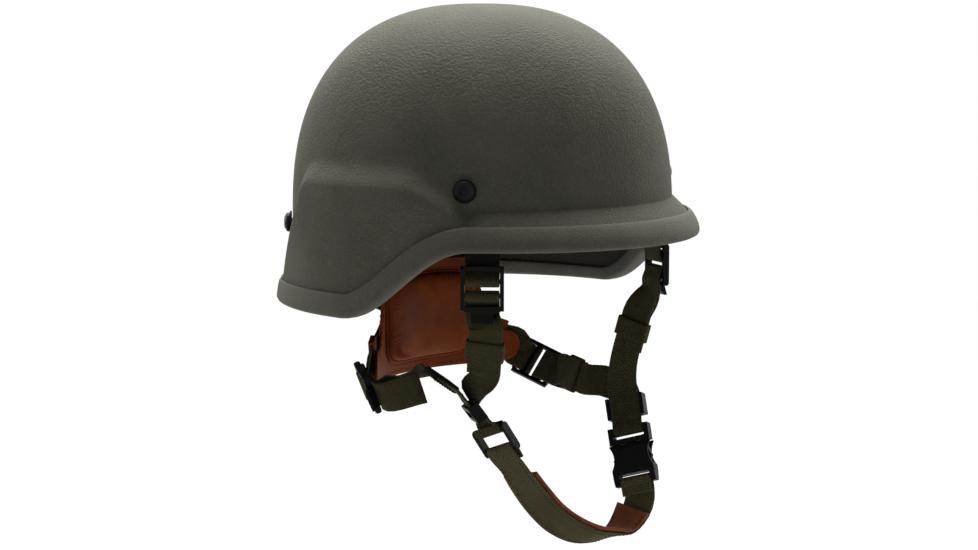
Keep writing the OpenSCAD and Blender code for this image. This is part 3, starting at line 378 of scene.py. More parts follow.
clipPlastic = mouldedMaterial("clipPlastic", colour(32, 32, 30), colour(46, 46, 42), 0.55)
cordCloth = threadMaterial("cordCloth", colour(40, 38, 28), colour(66, 63, 46))
oliveThread = threadMaterial("oliveThread", colour(44, 41, 25), colour(76, 72, 50))
darkThread = threadMaterial("darkThread", colour(20, 19, 16), colour(44, 42, 36))
leatherThread = threadMaterial("leatherThread", colour(74, 30, 10), colour(116, 56, 24))
print("materials made")


def addObject(name, data):
    # an object for a mesh, a lamp or a camera, in the scene
    obj = bpy.data.objects.new(name, data)
    bpy.context.scene.collection.objects.link(obj)
    return obj


def showMesh(name, mesh, material, body, replaced):
    # an object for a mesh, with its finish, its body and the nodes that it stands for
    mesh.materials.append(material)
    mesh.polygons.foreach_set("use_smooth", np.ones(len(mesh.polygons), bool))
    obj = addObject(name, mesh)
    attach(obj, body)
    if replaced:
        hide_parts(*replaced)
    return obj


def makePiece(name, skin, material, slotName, *replaced, body="helmet"):
    # one closed piece from a skin: places in millimetres, faces and a cloth map
    verts, faces, uv = skin
    mesh = bpy.data.meshes.new(name)
    mesh.from_pydata((np.asarray(verts, float) * metres).tolist(), [], faces)
    if uv is not None:
        mesh.uv_layers.new(name="strapMap").data.foreach_set("uv", (np.asarray(uv, float) * metres).ravel())
    work = bmesh.new()
    work.from_mesh(mesh)
    bmesh.ops.recalc_face_normals(work, faces=work.faces)
    work.to_mesh(mesh)
    work.free()
    return showMesh(name, mesh, material, body, replaced)


def ringSkin(rings, section=None, along=None, loop=False, capped=True):
    # rings of equal count joined in turn, each closed on itself, with a fan at each open end;
    # the cloth map is (place across the section, distance along)
    m, n = rings.shape[:2]
    i, j = np.meshgrid(np.arange(m if loop else m - 1), np.arange(n), indexing="ij")
    i, j = i.ravel(), j.ravel()
    ni, nj = (i + 1) % m, (j + 1) % n
    faces = np.stack([i * n + j, ni * n + j, ni * n + nj, i * n + nj], axis=1).tolist()
    verts, uv = rings.reshape(-1, 3), None
    if section is not None:
        u = np.append(section[:, 0], section[0, 0])
        corners = [(u[j], along[i]), (u[j], along[i + 1]), (u[j + 1], along[i + 1]), (u[j + 1], along[i])]
        uv = np.stack([np.stack(corner, 1) for corner in corners], axis=1).reshape(-1, 2)
    if capped and not loop:
        first, last, k = len(verts), len(verts) + 1, np.arange(n)
        verts = np.concatenate([verts, rings[:1].mean(1), rings[-1:].mean(1)])
        faces += np.stack([np.full(n, first), k, (k + 1) % n], 1).tolist()
        faces += np.stack([np.full(n, last), (m - 1) * n + (k + 1) % n, (m - 1) * n + k], 1).tolist()
        if uv is not None:
            uv = np.concatenate([uv, np.zeros((6 * n, 2))])
    return verts, faces, uv


def join(skins):
    # several skins as one; either all have a cloth map or none has
    verts, faces, uvs, start = [], [], [], 0
    for v, f, u in skins:
        verts.append(np.asarray(v, float))
        faces += [[k + start for k in face] for face in f]
        uvs.append(u)
        start += len(v)
    return np.concatenate(verts), faces, None if uvs[0] is None else np.concatenate(uvs)


def bandSection(width, thick, flat=9, turn=5):
    # outline of a webbing's section: two flat faces and half round selvedges of radius thick / 2
    s = np.linspace(-1, 1, flat)
    half, r = width / 2 - thick / 2, thick / 2
    face = r * np.ones(flat)
    a = np.linspace(90, -90, turn + 2)[1:-1]
    x = np.concatenate([s * half, half + r * cosd(a), -s * half, -half - r * cosd(a)])
    y = np.concatenate([face, r * sind(a), -face, -r * sind(a)])
    return np.stack([x, y], 1)


def carried(p, across, out, section):
    # a section at every place: place + across * x + outward * y
    return p[:, None] + across[..., None, :] * section[None, :, :1] + out[:, None] * section[None, :, 1:]


def sectionsAlong(route, section, lift=0.0):
    # a section carried along a route; direction = before * |after| / |before| + after * |before| / |after|
    p, face = route[:, :3], route[:, 3:]
    step = np.diff(p, axis=0)
    size = np.maximum(np.linalg.norm(step, axis=1, keepdims=True), 1e-9)
    inner = step[:-1] * size[1:] / size[:-1] + step[1:] * size[:-1] / size[1:]
    run = unit(np.concatenate([step[:1], inner, step[-1:]]))
    across = unit(np.cross(run, face))
    out = np.cross(across, run)
    return carried(p + out * lift, across, out, section), distances(p), across, out


def strapAxes(route):
    # distance along a strap, and its directions across and outward
    return sectionsAlong(route, np.zeros((1, 2)))[1:]


def strapMesh(route, width=webWide, thick=webThick, lift=0.0):
    # a webbing's section carried along a route
    section = bandSection(width, thick)
    rings, length = sectionsAlong(route, section, lift)[:2]
    return ringSkin(rings, section, length)


def stitchMesh(p, out, length=2.4, gap=0.9, thread=0.28):
    # short round threads along a line, whose ends dip in: height = thread / 2 - (thread + sink) * |s|^3
    sink = 0.12
    line = np.concatenate([p, out], 1)
    run = distances(line[:, :3])
    spots = valuesAt(np.arange((length + gap) / 2, run[-1], length + gap), run, line)
    if len(spots) < 2:
        return np.zeros((0, 3)), [], None
    p, out = spots[:, :3], unit(spots[:, 3:6])
    run = unit(np.gradient(p, axis=0))
    side = unit(np.cross(run, out))
    out = np.cross(side, run)
    s = np.array([-1, -0.8, 0, 0.8, 1])
    a = np.arange(0, 360, 60)
    fat = thread * np.array([0.25, 0.8, 1, 0.8, 0.25])
    dip = thread * 0.5 - (thread + sink) * np.abs(s) ** 3
    ring = (p[:, None, None] + run[:, None, None] * (s * length / 2)[None, :, None, None]
            + out[:, None, None] * (dip[:, None] + fat[:, None] * sind(a))[None, :, :, None]
            + side[:, None, None] * (fat[:, None] * cosd(a))[None, :, :, None])
    k = len(ring)
    count = ring.shape[1] * ring.shape[2] + 2
    verts = np.concatenate([ring.reshape(k, -1, 3), ring[:, :1].mean(2), ring[:, -1:].mean(2)], axis=1)
    pattern, faces = ringSkin(ring[0])[1], []
    for sides in (4, 3):
        one = np.array([face for face in pattern if len(face) == sides])
        faces += (one[None] + (np.arange(k) * count)[:, None, None]).reshape(-1, sides).tolist()
    return verts.reshape(-1, 3), faces, None


def alongStrap(route, start, end, offset, lift):
    # a line along a strap, from start to the end less end: place + across * offset + outward * lift
    length, across, out = strapAxes(route)
    keep = (length >= start) & (length <= length[-1] - end)
    return route[keep, :3] + across[keep] * offset + out[keep] * lift, out[keep] * np.sign(lift)


def boxStitch(route, start, end, inset=2.2):
    # a sewn box with a cross in it: six straight lines of stitching between its corners
    length, across, out = strapAxes(route)
    half = webWide / 2 - inset

    def line(s0, x0, s1, x1):
        # from s0 along and x0 across the strap to s1 and x1
        t = np.linspace(0, 1, 24)
        p, side, up = [valuesAt(mix(s0, s1, t), length, v) for v in (route[:, :3], across, out)]
        p = p + side * mix(x0, x1, t)[:, None] + up * sewn
        return stitchMesh(p, up, length=2.0, gap=0.7, thread=0.25)

    corners = [(start, -half, end, -half), (start, half, end, half), (start, -half, start, half),
               (end, -half, end, half), (start, -half, end, half), (start, half, end, -half)]
    return [line(*c) for c in corners]


def domeRadius(a):
    # the dome's oval at its widest level
    s = shellSizes
    return oval(s["domeFront"], s["domeSide"], s["domeRear"], a)


def rimRadius(a):
    # the edge's oval
    s = shellSizes
    return oval(s["rimFront"], s["rimSide"], s["rimRear"], a)


def rimX(a):
    # how far forward a place on the edge lies
    return rimRadius(a) * cosd(a)


def rimLevel(a):
    # the edge steps up from the skirt to the brim: -drop * (1 - smooth((x - start) / run))
    s = shellSizes
    return -s["skirtDrop"] * (1 - smooth((rimX(a) - s["stepStart"]) / s["stepRun"]))


def profile(z):
    # share of the radius left at a level: (1 - up^power)^(1 / power)
    s = shellSizes
    up = np.clip((z - s["domeLevel"]) / s["domeRise"], 0, 1)
    return np.maximum(0, 1 - up ** s["domePower"]) ** (1 / s["domePower"])


def flare(a, z):
    # (rim - dome) * share, where share is a quarter sine at the brim and smooth at the skirt
    s = shellSizes
    low = rimLevel(a)
    brim = sind(90 * np.clip((s["creaseLevel"] - z) / (s["creaseLevel"] - low), 0, 1))
    skirt = smooth((s["skirtFlare"] - (z - low)) / s["skirtFlare"])
    share = mix(skirt, brim, smooth((rimX(a) - s["brimStart"]) / s["brimRun"]))
    return (rimRadius(a) - domeRadius(a)) * share


def ear(a, z):
    # the bulge over each ear: rise * smooth(depth / ease), where depth is how far a place lies inside an
    # outline with round corners: corner - length of (shortfall above, shortfall beside)
    s = shellSizes
    x, ease, corner = domeRadius(a) * cosd(a), s["earEase"] / 2, s["earCorner"]
    front = s["earFront"] + s["earFrontLean"] * np.maximum(0, s["earTop"] - s["earFrontDrop"] - z)
    rear = s["earRear"] - s["earRearLean"] * np.maximum(0, s["earTop"] - s["earRearDrop"] - z)
    above = np.maximum(0, corner - (s["earTop"] + ease - z))
    beside = np.maximum(0, corner - (np.minimum(front - x, x - rear) + ease))
    return s["earRise"] * smooth((corner - np.hypot(above, beside)) / s["earEase"])


def larger(a, b, blend=3.0):
    # max(a, b) + near^2 * blend / 4, where near falls from 1 to 0 as the two part by blend
    near = np.maximum(0, blend - np.abs(a - b)) / blend
    high = np.maximum(a, b)
    return high + near * near * blend / 4 * np.clip(high / blend, 0, 1)


def shellRadius(a, z):
    # dome * profile + the larger of flare and ear
    return domeRadius(a) * profile(z) + larger(flare(a, z), ear(a, z))


def shellPoint(a, z):
    # (r cos a, r sin a, z)
    r = shellRadius(a, z)
    return np.stack([r * cosd(a), r * sind(a), z + 0 * r], axis=-1)


def shellNormal(a, z):
    # outward direction from the radius's slopes round and up the shell
    r = shellRadius(a, z)
    along = (shellRadius(a + 1, z) - shellRadius(a - 1, z)) * 90 / np.pi / r
    up = (shellRadius(a, z + 0.2) - shellRadius(a, z - 0.2)) / 0.4
    return unit(np.stack([cosd(a) + sind(a) * along, sind(a) - cosd(a) * along, -up], axis=-1))


def rowLevel(a, i, lowRows, highRows, crowding=1.6):
    # an even spread from the edge to the crease, then closer together at first up to the crown
    s = shellSizes
    power = s["domePower"]
    creaseAngle = np.degrees(np.arccos(((s["creaseLevel"] - s["domeLevel"]) / s["domeRise"]) ** (power / 2)))
    low = mix(rimLevel(a), s["creaseLevel"], np.minimum(i / lowRows, 1))
    part = 1 - np.clip((i - lowRows) / highRows, 0, 1) ** crowding
    high = s["domeLevel"] + s["domeRise"] * np.maximum(0, cosd(creaseAngle * part)) ** (2 / power)
    return np.where(i <= lowRows, low, high)


def boltFrame(a, z):
    # a frame on the shell at a turn and a level
    a, z = np.array(a), np.array(z)
    return frameOf(shellPoint(a, z), shellNormal(a, z), [0, 0, -1])


# front left, front right, rear left and rear right
boltFrames = [boltFrame(a, z) for a, z in ((52.5, 32.5), (-52.5, 32.5), (137.0, 3.0), (-137.0, 3.0))]


def makeShell():
    # outer face = shellPoint over a grid of turns and rows, inner face = outer - wall * normal
    look = dict(columns=360, lowRows=34, highRows=70, innerStep=3)
    n, wall = look["columns"], shellSizes["wall"]
    rows = np.arange(look["lowRows"] + look["highRows"])
    turns, index = np.meshgrid(np.arange(n) * 360.0 / n, rows)
    levels = rowLevel(turns, index.astype(float), look["lowRows"], look["highRows"])
    outer = shellPoint(turns, levels)
    inner = outer - wall * shellNormal(turns, levels)
    inside = inner[::-look["innerStep"]]
    rings = np.concatenate([inside, inner[:1], outer])
    verts, faces, uv = ringSkin(rings, capped=False)
    top, last, k = shellSizes["domeLevel"] + shellSizes["domeRise"], (len(rings) - 1) * n, np.arange(n)
    faces += np.stack([np.full(n, len(verts)), k, (k + 1) % n], 1).tolist()
    faces += np.stack([np.full(n, len(verts) + 1), last + (k + 1) % n, last + k], 1).tolist()
    verts = np.concatenate([verts, [[0, 0, top - wall], [0, 0, top]]])
    shell = makePiece("shellBody", (verts, faces, uv), shellPaint, "shell_paint", "shell")
    # the inner face and the fan at its crown take the darker paint, which is painted shade inside the shell
    shell.data.materials.append(shadedInsidePaint)
    paint = np.zeros(len(faces), int)
    paint[:len(inside) * n] = 1
    paint[-2 * n:-n] = 1
    shell.data.polygons.foreach_set("material_index", paint)


def makeEdging():
    # a channel's section (rise, outward) carried round the edge and rounded at both lips
    look = dict(outside=12.0, inside=9.0, thick=1.7, gap=0.4)
    top, low, t, g = look["outside"], look["inside"], look["thick"], look["gap"]
    wall, far = shellSizes["wall"], -shellSizes["wall"] - look["gap"]
    section = np.array([
        [top, g + 0.1], [top + 0.1, g + 0.7], [top - 0.4, g + t * 0.75], [top - 1.2, g + t * 0.95],
        [top - 3, g + t], [top * 0.5, g + t], [top * 0.3, g + t * 0.98], [1.2, g + t], [0, g + t * 0.9],
        [-g - t * 0.45, g + t * 0.55], [-g - t * 0.85, g * 0.2], [-g - t, -wall * 0.25],
        [-g - t, -wall * 0.75], [-g - t * 0.85, -wall - g * 0.2], [-g - t * 0.45, far - t * 0.55],
        [0, far - t * 0.9], [low * 0.5, far - t], [low - 0.8, far - t * 0.95], [low, far - t * 0.6],
        [low, far], [low * 0.5, far], [0, far], [-g, -wall], [-g, 0], [0, g], [top * 0.5, g]])
    a = np.arange(0, 360, 1.0)
    steep = (rimLevel(a + 1) - rimLevel(a - 1)) * 90 / np.pi / rimRadius(a)
    z = rimLevel(a)[:, None] + section[None, :, 0] * np.sqrt(1 + steep ** 2)[:, None]
    turns = np.repeat(a[:, None], len(section), 1)
    outward = shellNormal(turns, np.maximum(z, rimLevel(a)[:, None]))
    rings = shellPoint(turns, z) + section[None, :, 1:] * outward
    makePiece("rimEdging", ringSkin(rings, loop=True), edgePaint, "edge_rubber", "edge_trim")


makeShell()
makeEdging()
print("shell made")

# places of the suspension and the harness, as in the frame's own source
layer = webThick + webGap
hangerDepth = shellSizes["wall"] + 1.5 + webThick / 2
cradleDepth = hangerDepth + layer + 0.3
halfLock = webSizes["lockHeight"] / 2
turnRadius = webSizes["bar"] / 2 + webGap + webThick / 2
barPlace = (webSizes["slit"] + webThick) / 2 + turnRadius
behindOne = webSizes["lockThick"] / 2 + webGap + webThick / 2
behindTwo = behindOne + layer
barClear = 3.3
glideDepth = 1.9
# each value holds the left side, then the right
harness = dict(
    runTop=(9, 14), keeperDrop=(13, 11.5), glideHalf=(7, 5.5), rearTurn=([12, 20, 4], [-1.4, 12.5, 2]),
    tailEnd=([14, 13.5, -5], [26, 9, 6]), tailFace=([0.7, -0.6, 0.2], [-0.48, 0.87, 0.15]))
# ladder locks, straight runs that the keepers slide on, and the glides where two straps meet: the bolt that
# each hangs from, then for each side its offset from the bolt and its outward and downward directions
hungPlaces = dict(
    frontLock=("front", ([9.5, 0.5, -57], aim(66), [0, 0, -1]), ([12, -0.5, -57], aim(-50), [0, 0, -1])),
    frontRun=("front", ([-0.5, -6.5, -87], aim(95), [-0.24, -0.12, -1]),
              ([12.1, 2.9, -83], aim(-58), [-0.26, 0.2, -1])),
    rearLock=("rear", ([57, 6, -101], [-0.6, 0.69, -0.4], [0.87, 0.31, -0.38]),
              ([57.5, -8.5, -97], [-0.703, -0.63, -0.323], [0.83, -0.5, -0.25])),
    rearRun=("rear", ([90.85, 2.44, -104.12], [0.2, 0.95, -0.3], [0.96, -0.24, -0.13]),
             ([110, 1.5, -87.6], [0.22, -0.6, -1], [0.95, -0.19, -0.31])),
    glide=("front", ([-3.6, -13.5, -149], aim(112), [0.36, -0.21, -0.91]),
           ([-7.6, 15.5, -133], aim(-128), [0.42, 0.42, -0.8])))
frontRunLength, rearRunHalf = 24.0, 10.5
nearTwist = dict(share=0.62, turn=-104.0)  # where the near front strap turns its edge to the front


def ofSide(label, side):
    # one of the harness's values for one side
    return harness[label][0 if side > 0 else 1]


def boltOf(row, side):
    # the frame of the front or the rear bolt on one side
    return boltFrames[(0 if row == "front" else 2) + (0 if side > 0 else 1)]


def anchor(row, side):
    # a bolt's place at the hanger's depth
    return toWorld(boltOf(row, side), [0, 0, -hangerDepth])


def hung(label, side):
    # the frame of a lock, a run or a glide: the bolt's place + offset
    row, *both = hungPlaces[label]
    offset, out, down = both[0 if side > 0 else 1]
    return frameOf(anchor(row, side) + offset, out, down)


mouth, socketLength, sliderHalf, sliderDrop = 9.2, 26.0, 7.0, 22.0
socketBar = mouth + socketLength - webSizes["bar"] / 2 - 0.8
plugFrame = shifted(hung("glide", left), [0, -15, 0])
pivotRough = toWorld(hung("glide", right), [0, -sliderDrop - sliderHalf, 0])
pivotAxis = unit(np.cross(toWorld(plugFrame, [0, -mouth - 8, 0]) - pivotRough, -plugFrame[2]))
linkRight = np.array(hungPlaces["glide"][2][2])
sliderDown = unit(linkRight - (linkRight @ pivotAxis) * pivotAxis)
sliderPlace = toWorld(hung("glide", right), [0, -sliderDrop, 0]) + 1.5 * pivotAxis
sliderFrame = np.array([sliderPlace, -pivotAxis, -sliderDown, np.cross(pivotAxis, sliderDown)])
pivot = toWorld(sliderFrame, [0, -sliderHalf, 0])
socketEnd = toWorld(plugFrame, [0, -socketBar, 0])


def roundBar(f, v, start, end, look=-1, steps=8):
    # stops round a bar at v: (v + radius * sin a, radius * cos a), facing the bar or away from it
    return [inFrame(f, v + turnRadius * sind(a), turnRadius * cosd(a), look * sind(a), look * cosd(a))
            for a in np.linspace(start, end, steps + 1)]


def level(f, heights, w, look=1):
    # stops at several heights in a frame, all at one depth and facing outward or inward
    return [inFrame(f, v, w, 0, look) for v in heights]


def straight(half):
    # heights that hold a strap straight between -half and half
    return [-half - 2, -half - 1, -half, half, half + 1, half + 2]


def lockTurnStops(lock):
    # up behind, through the slit, over the lower bar, back and down behind the thumb tab
    return (level(lock, (-halfLock - 2, -halfLock + 3), -behindTwo) + roundBar(lock, -barPlace, 180, -60)
            + level(lock, (-halfLock + barClear, -halfLock - 3), -behindOne, -1))


def hangerRoute(side):
    # down the wall from the front bolt, then in behind the upper bar of the front lock
    out, top, lock = boltOf("front", side)[3], anchor("front", side), hung("frontLock", side)
    up = np.array([0, 0, 1.0])
    places = (top + 6 * up, top, top - 15 * up, top - 1.2 * out - 24 * up)
    return curveThrough([station(p, out) for p in places]
                        + level(lock, (halfLock + 15, halfLock + 1.2), -behindOne + layer), 8)


def loopRoute(side):
    # the sewn loop round the upper bar of the front lock
    lock = hung("frontLock", side)
    return curveThrough(level(lock, (halfLock + 8, halfLock - barClear), -behindOne, -1)
                        + roundBar(lock, barPlace, 55, -180) + level(lock, (barPlace + 5,), -behindTwo + 0.6)
                        + level(lock, (halfLock, halfLock + 7), -behindTwo), 4)


def frontStrapRoute(side):
    # round the lower bar, over the glide, up the run, through the front lock and back down the run
    lock, run, glide = [hung(label, side) for label in ("frontLock", "frontRun", "glide")]
    half, glideHalf = frontRunLength / 2, ofSide("glideHalf", side)
    top = ofSide("runTop", side)
    held = [v - half for v in (-half - 2, -half - 1, -half, top - 2, top - 1, top)]
    foot, footBar = (plugFrame, 0) if side > 0 else (sliderFrame, sliderHalf)
    twist = []
    if side < 0:
        low, high = toWorld(glide, [0, glideHalf + 2, -glideDepth]), toWorld(run, [0, held[0], 0])
        twist = [station(mix(low, high, nearTwist["share"]), aim(nearTwist["turn"]))]
    return curveThrough(level(foot, (footBar + 3.5,), turnRadius - 0.4, -1)
                        + roundBar(foot, footBar, 10, -180)
                        + level(foot, (footBar + 1.6, footBar + 3), -turnRadius)
                        + level(glide, straight(glideHalf), -glideDepth) + twist + level(run, held, 0)
                        + lockTurnStops(lock) + level(run, held[::-1], layer, -1), 6)


def rearStrapRoute(side):
    # from the glide back along the rear run, through the rear lock, with a free tail
    lock, run, glide = [hung(label, side) for label in ("rearLock", "rearRun", "glide")]
    low = toWorld(lock, [0, -halfLock - 2, -behindTwo])
    half = ofSide("glideHalf", side)
    return curveThrough(level(glide, [v for v in straight(half) if v > -half - 0.5], glideDepth)
                        + [station(toWorld(glide, ofSide("rearTurn", side)), glide[3])]
                        + level(run, straight(rearRunHalf), 0) + lockTurnStops(lock)
                        + [station(low + np.array(ofSide("tailEnd", side)), ofSide("tailFace", side))], 6)


nape = dict(radius=88.0, arc=43.0, fullArc=27.0, height=71.0, wing=20.0, cushion=9.0, border=9.0,
            leather=1.8, centre=(45, 0, -61), wingLevel=-24.0, hangerTurn=42.0, hangerRise=0.655)
napeBack = nape["radius"] + nape["cushion"] + webGap
strapBack = napeBack + nape["leather"] + 0.8 + 3 * webGap + webThick / 2


def napePoint(a, z, r):
    # a place on a cylinder behind the neck: centre + (-r cos a, r sin a, z)
    a, z, r = np.broadcast_arrays(a, z, r)
    return np.stack([nape["centre"][0] - r * cosd(a), r * sind(a), nape["centre"][2] + z], axis=-1)


def napeStation(side, a, off):
    # a stop of the hanger behind the nape pad, which rises towards its far side
    rise = (nape["hangerTurn"] - a) * nape["hangerRise"]
    place = napePoint(side * a, nape["wingLevel"] + rise, strapBack + off)
    return station(place, [-cosd(side * a), sind(side * a), 0])


def rearHangerRoute(side):
    # from the far rear bolt, down and round the back of the nape pad, then round the rear lock's upper bar
    f, top, lock = boltOf("rear", -side), anchor("rear", -side), hung("rearLock", side)
    out, over = f[3], 0 if side > 0 else webThick + 2 * webGap
    run = unit(0.3 * unit(np.cross([0, 0, -side], out)) - f[2])
    rounds = [(-25, over + 4), (-16, over), (-5, over), (5, over), (16, over),
              (27, 0), (31, 0), (37, 0), (42, 1.8)]
    return curveThrough([station(top + d * run, out) for d in (-6, 0, 14, 23)]
                        + [napeStation(side, a, off) for a, off in rounds]
                        + level(lock, (halfLock + 3,), -behindOne - 0.5)
                        + level(lock, (halfLock - barClear,), -behindOne - 0.2)
                        + roundBar(lock, barPlace, 55, -150, 1), 6)


# shape: share of the way, share of the sag, then the turn and rise that the strap faces
chinLook = dict(sag=42.0, forward=3.0, lead=12.0, tuck=9.0, ease=0.6,
                seams=(-7.6, 7.6), liningWidth=24.0, liningSeams=(-10.2, 10.2),
                shape=((0.19, 0.58, -62, -34), (0.29, 0.78, -48, -46), (0.43, 0.95, -24, -52),
                       (0.66, 1, 25, -60), (0.845, 0.84, 78, -36)))
lead, tuck, ease = chinLook["lead"], chinLook["tuck"], chinLook["ease"]
chinRun = level(sliderFrame, (-sliderHalf - lead,), ease)
for share, sag, turn, rise in chinLook["shape"]:
    below = np.array([chinLook["forward"], 0, -chinLook["sag"] * sag])
    chinRun.append(station(mix(pivot, socketEnd, share) + below, aim(turn, rise)))
chinRun += level(plugFrame, (-socketBar - lead,), ease)
chinRoute = curveThrough(level(sliderFrame, (-sliderHalf - tuck,), -turnRadius + ease, -1)
                         + roundBar(sliderFrame, -sliderHalf, 190, 0, 1) + chinRun
                         + roundBar(plugFrame, -socketBar, 0, 190, 1)
                         + level(plugFrame, (-socketBar - tuck,), -turnRadius + ease, -1), 6)
print("harness routes worked out")


def makeStrap(name, route, stitches, node, material=oliveWeb, slotName="olive_webbing", body="helmet",
              thread=oliveThread):
    # a strap along its route, and all its stitching as a second piece
    makePiece(name, strapMesh(route), material, slotName, node, body=body)
    makePiece(name + "Stitching", join([s for s in stitches if len(s[0])]), thread, slotName, body=body)


def endBars(route, at, face=1, shifts=(0, 1.6, 3.2)):
    # close rows of stitching across a strap, at a distance from its start, or from its end if below 0
    length, across, out = strapAxes(route)
    at = length[-1] + at if at < 0 else at
    x = np.linspace(-1, 1, 16)[:, None] * (webWide / 2 - 1.6)
    rows = []
    for shift in shifts:
        p, side, up = [valuesAt(at + shift, length, v) for v in (route[:, :3], across, out)]
        rows.append(stitchMesh(p + side * x + up * face * sewn, np.repeat(up[None] * face, 16, 0),
                               length=1.5, gap=0.4, thread=0.24))
    return rows


for side, tag in sides:
    low = tag.lower()
    route = hangerRoute(side)
    end = distances(route[:, :3])[-1]
    makeStrap("hangerTab" + tag, route, boxStitch(route, end - 12, end - 3), "front_hanger_" + low,
              blackWeb, "black_webbing", thread=darkThread)
    route = loopRoute(side)
    makeStrap("lockLoop" + tag, route, endBars(route, 2.0) + endBars(route, -6.5), "front_loop_" + low)
    route = frontStrapRoute(side)
    bars = endBars(route, -2.4, -1, (0, 1.4)) + endBars(route, -2.4, 1, (0, 1.4))
    makeStrap("frontStrap" + tag, route, bars, "front_strap_" + low)
    route = rearStrapRoute(side)
    makeStrap("rearStrap" + tag, route, endBars(route, -5.2, -1) + endBars(route, -5.2), "rear_strap_" + low)
    route = rearHangerRoute(side)
    makeStrap("rearHanger" + tag, route, endBars(route, 14) + endBars(route, 1.0), "rear_hanger_" + low)


def makeKeeper(row, tag, f, layers, material, thread):
    # a band's section carried round a rounded rectangle that holds one or two layers of webbing
    look = dict(length=12.0, thick=1.2, corner=1.0, flat=14, sewnAt=4.6)
    flat, corner, bend = look["flat"], look["corner"], np.linspace(75, -75, 6)
    halfWide = (webWide + 2 * webGap + look["thick"]) / 2 - corner
    halfDeep = (layers * layer + webGap + look["thick"]) / 2
    s = np.linspace(-halfWide, halfWide, flat)
    rise = halfDeep - corner
    endUp = np.where(bend > 0, rise, -rise) + corner * sind(bend)
    x = np.concatenate([s, halfWide + corner * cosd(bend), -s, -halfWide - corner * cosd(bend)])
    y = np.concatenate([np.full(flat, halfDeep), endUp, np.full(flat, -halfDeep), -endUp])
    middle = np.array([0, 0, (layers - 1) * layer / 2])
    path = np.stack([x, 0 * x, y], 1)
    run = unit(np.roll(path, -1, 0) - np.roll(path, 1, 0))
    out = np.stack([-run[:, 2], 0 * x, run[:, 0]], 1)
    section = bandSection(look["length"], look["thick"], flat=7)
    local = carried(path, np.array([0, 1.0, 0]), out, section)
    length = distances(np.concatenate([path, path[:1]]))
    skin = ringSkin(toWorld(f, local + middle), section, length, loop=True)
    name, low = row + "Keeper" + tag, tag.lower()
    body = "keeper_" + row + "_" + low
    makePiece(name, skin, material, "olive_webbing", row + "_keeper_" + low, body=body)
    face, rows = slice(flat + 1), []
    for offset in (-look["sewnAt"], look["sewnAt"]):
        line = path + out * 0.65 + middle + np.array([0, offset, 0])
        rows.append(stitchMesh(toWorld(f, line[face]), out[face] @ f[1:], length=1.8, gap=0.7, thread=0.24))
    makePiece(name + "Stitching", join(rows), thread, "olive_webbing", body=body)


for side, tag in sides:
    held = shifted(hung("frontRun", side), [0, -ofSide("keeperDrop", side), 0])
    makeKeeper("front", tag, held, 2, oliveWeb, oliveThread)
    cloth = blackWeb if side < 0 else oliveWeb
    makeKeeper("rear", tag, hung("rearRun", side), 1, cloth, darkThread)

# the chin strap and its suede lining, sewn along both edges
seams = [stitchMesh(*alongStrap(chinRoute, 26, 26, offset, sewn), length=2.2) for offset in chinLook["seams"]]
# the chin strap takes the lighter copy of the webbing, which is painted light
makeStrap("chinStrap", chinRoute, endBars(chinRoute, 1.0) + endBars(chinRoute, -5.0) + seams, "chin_strap",
          litChinWeb, body="chin")
liningRoute = curveThrough(chinRun, 14)[5:-4]
liningDepth = -(webThick + nape["leather"]) / 2 - webGap - 0.35
liningMesh = strapMesh(liningRoute, chinLook["liningWidth"], nape["leather"], liningDepth)
makePiece("chinLining", liningMesh, chinSuede, "chin_suede", "chin_lining", body="chin")
liningRows = []
for offset in chinLook["liningSeams"]:
    for face in (-1, 1):
        seam = alongStrap(liningRoute, 3, 3, offset, liningDepth + face * (nape["leather"] / 2 + 0.05))
        liningRows.append(stitchMesh(*seam, length=2.2))
makePiece("chinLiningStitching", join(liningRows), leatherThread, "chin_suede", body="chin")
print("webbing made")


def makeNapeBacking():
    # a sheet on a cylinder: full height in the middle, then wings with round ends, and edges rounded
    look = dict(steps=150, rows=26, wingRun=12.0, seamInset=2.4)
    a = nape["arc"] * np.sin(np.radians(np.linspace(-90, 90, look["steps"])))
    wingEnd = np.degrees(nape["wing"] / 2 / napeBack)
    share = smooth((np.abs(a) - nape["fullArc"] + look["wingRun"] * 0.4) / look["wingRun"])
    turn = np.sqrt(np.maximum(0.04, 1 - (np.maximum(0, np.abs(a) - nape["arc"] + wingEnd) / wingEnd) ** 2))
    high = mix(nape["height"] / 2, nape["wingLevel"] + nape["wing"] / 2 * turn, share)
    low = mix(-nape["height"] / 2, nape["wingLevel"] - nape["wing"] / 2 * turn, share)
    r, bend = nape["leather"] / 2, np.linspace(75, -75, 5)
    s = (high - low - 2 * r)[:, None] * np.linspace(0, 1, look["rows"])
    foot, head = low[:, None] + r, high[:, None] - r
    height = np.concatenate([foot + s, head + r * cosd(bend), head - s, foot - r * cosd(bend)], axis=1)
    face = np.full(look["rows"], r)
    depth = np.concatenate([face, r * sind(bend), -face, -r * sind(bend)])
    rings = napePoint(a[:, None], height, napeBack + r + depth[None])
    makePiece("napeBacking", ringSkin(rings), napeLeather, "nape_leather", "nape_backing")
    inner, rows = np.abs(a) < nape["arc"] - 1.0, []
    for edge, sign in ((high, -1), (low, 1)):
        for radius, out in ((napeBack - 0.05, 1), (napeBack + nape["leather"] + 0.05, -1)):
            p = napePoint(a[inner], edge[inner] + sign * look["seamInset"], radius)
            face = np.stack([out * cosd(a[inner]), -out * sind(a[inner]), 0 * a[inner]], 1)
            rows.append(stitchMesh(p, face, length=2.6, gap=1.1, thread=0.3))
    makePiece("napeBackingStitching", join(rows), leatherThread, "nape_leather")


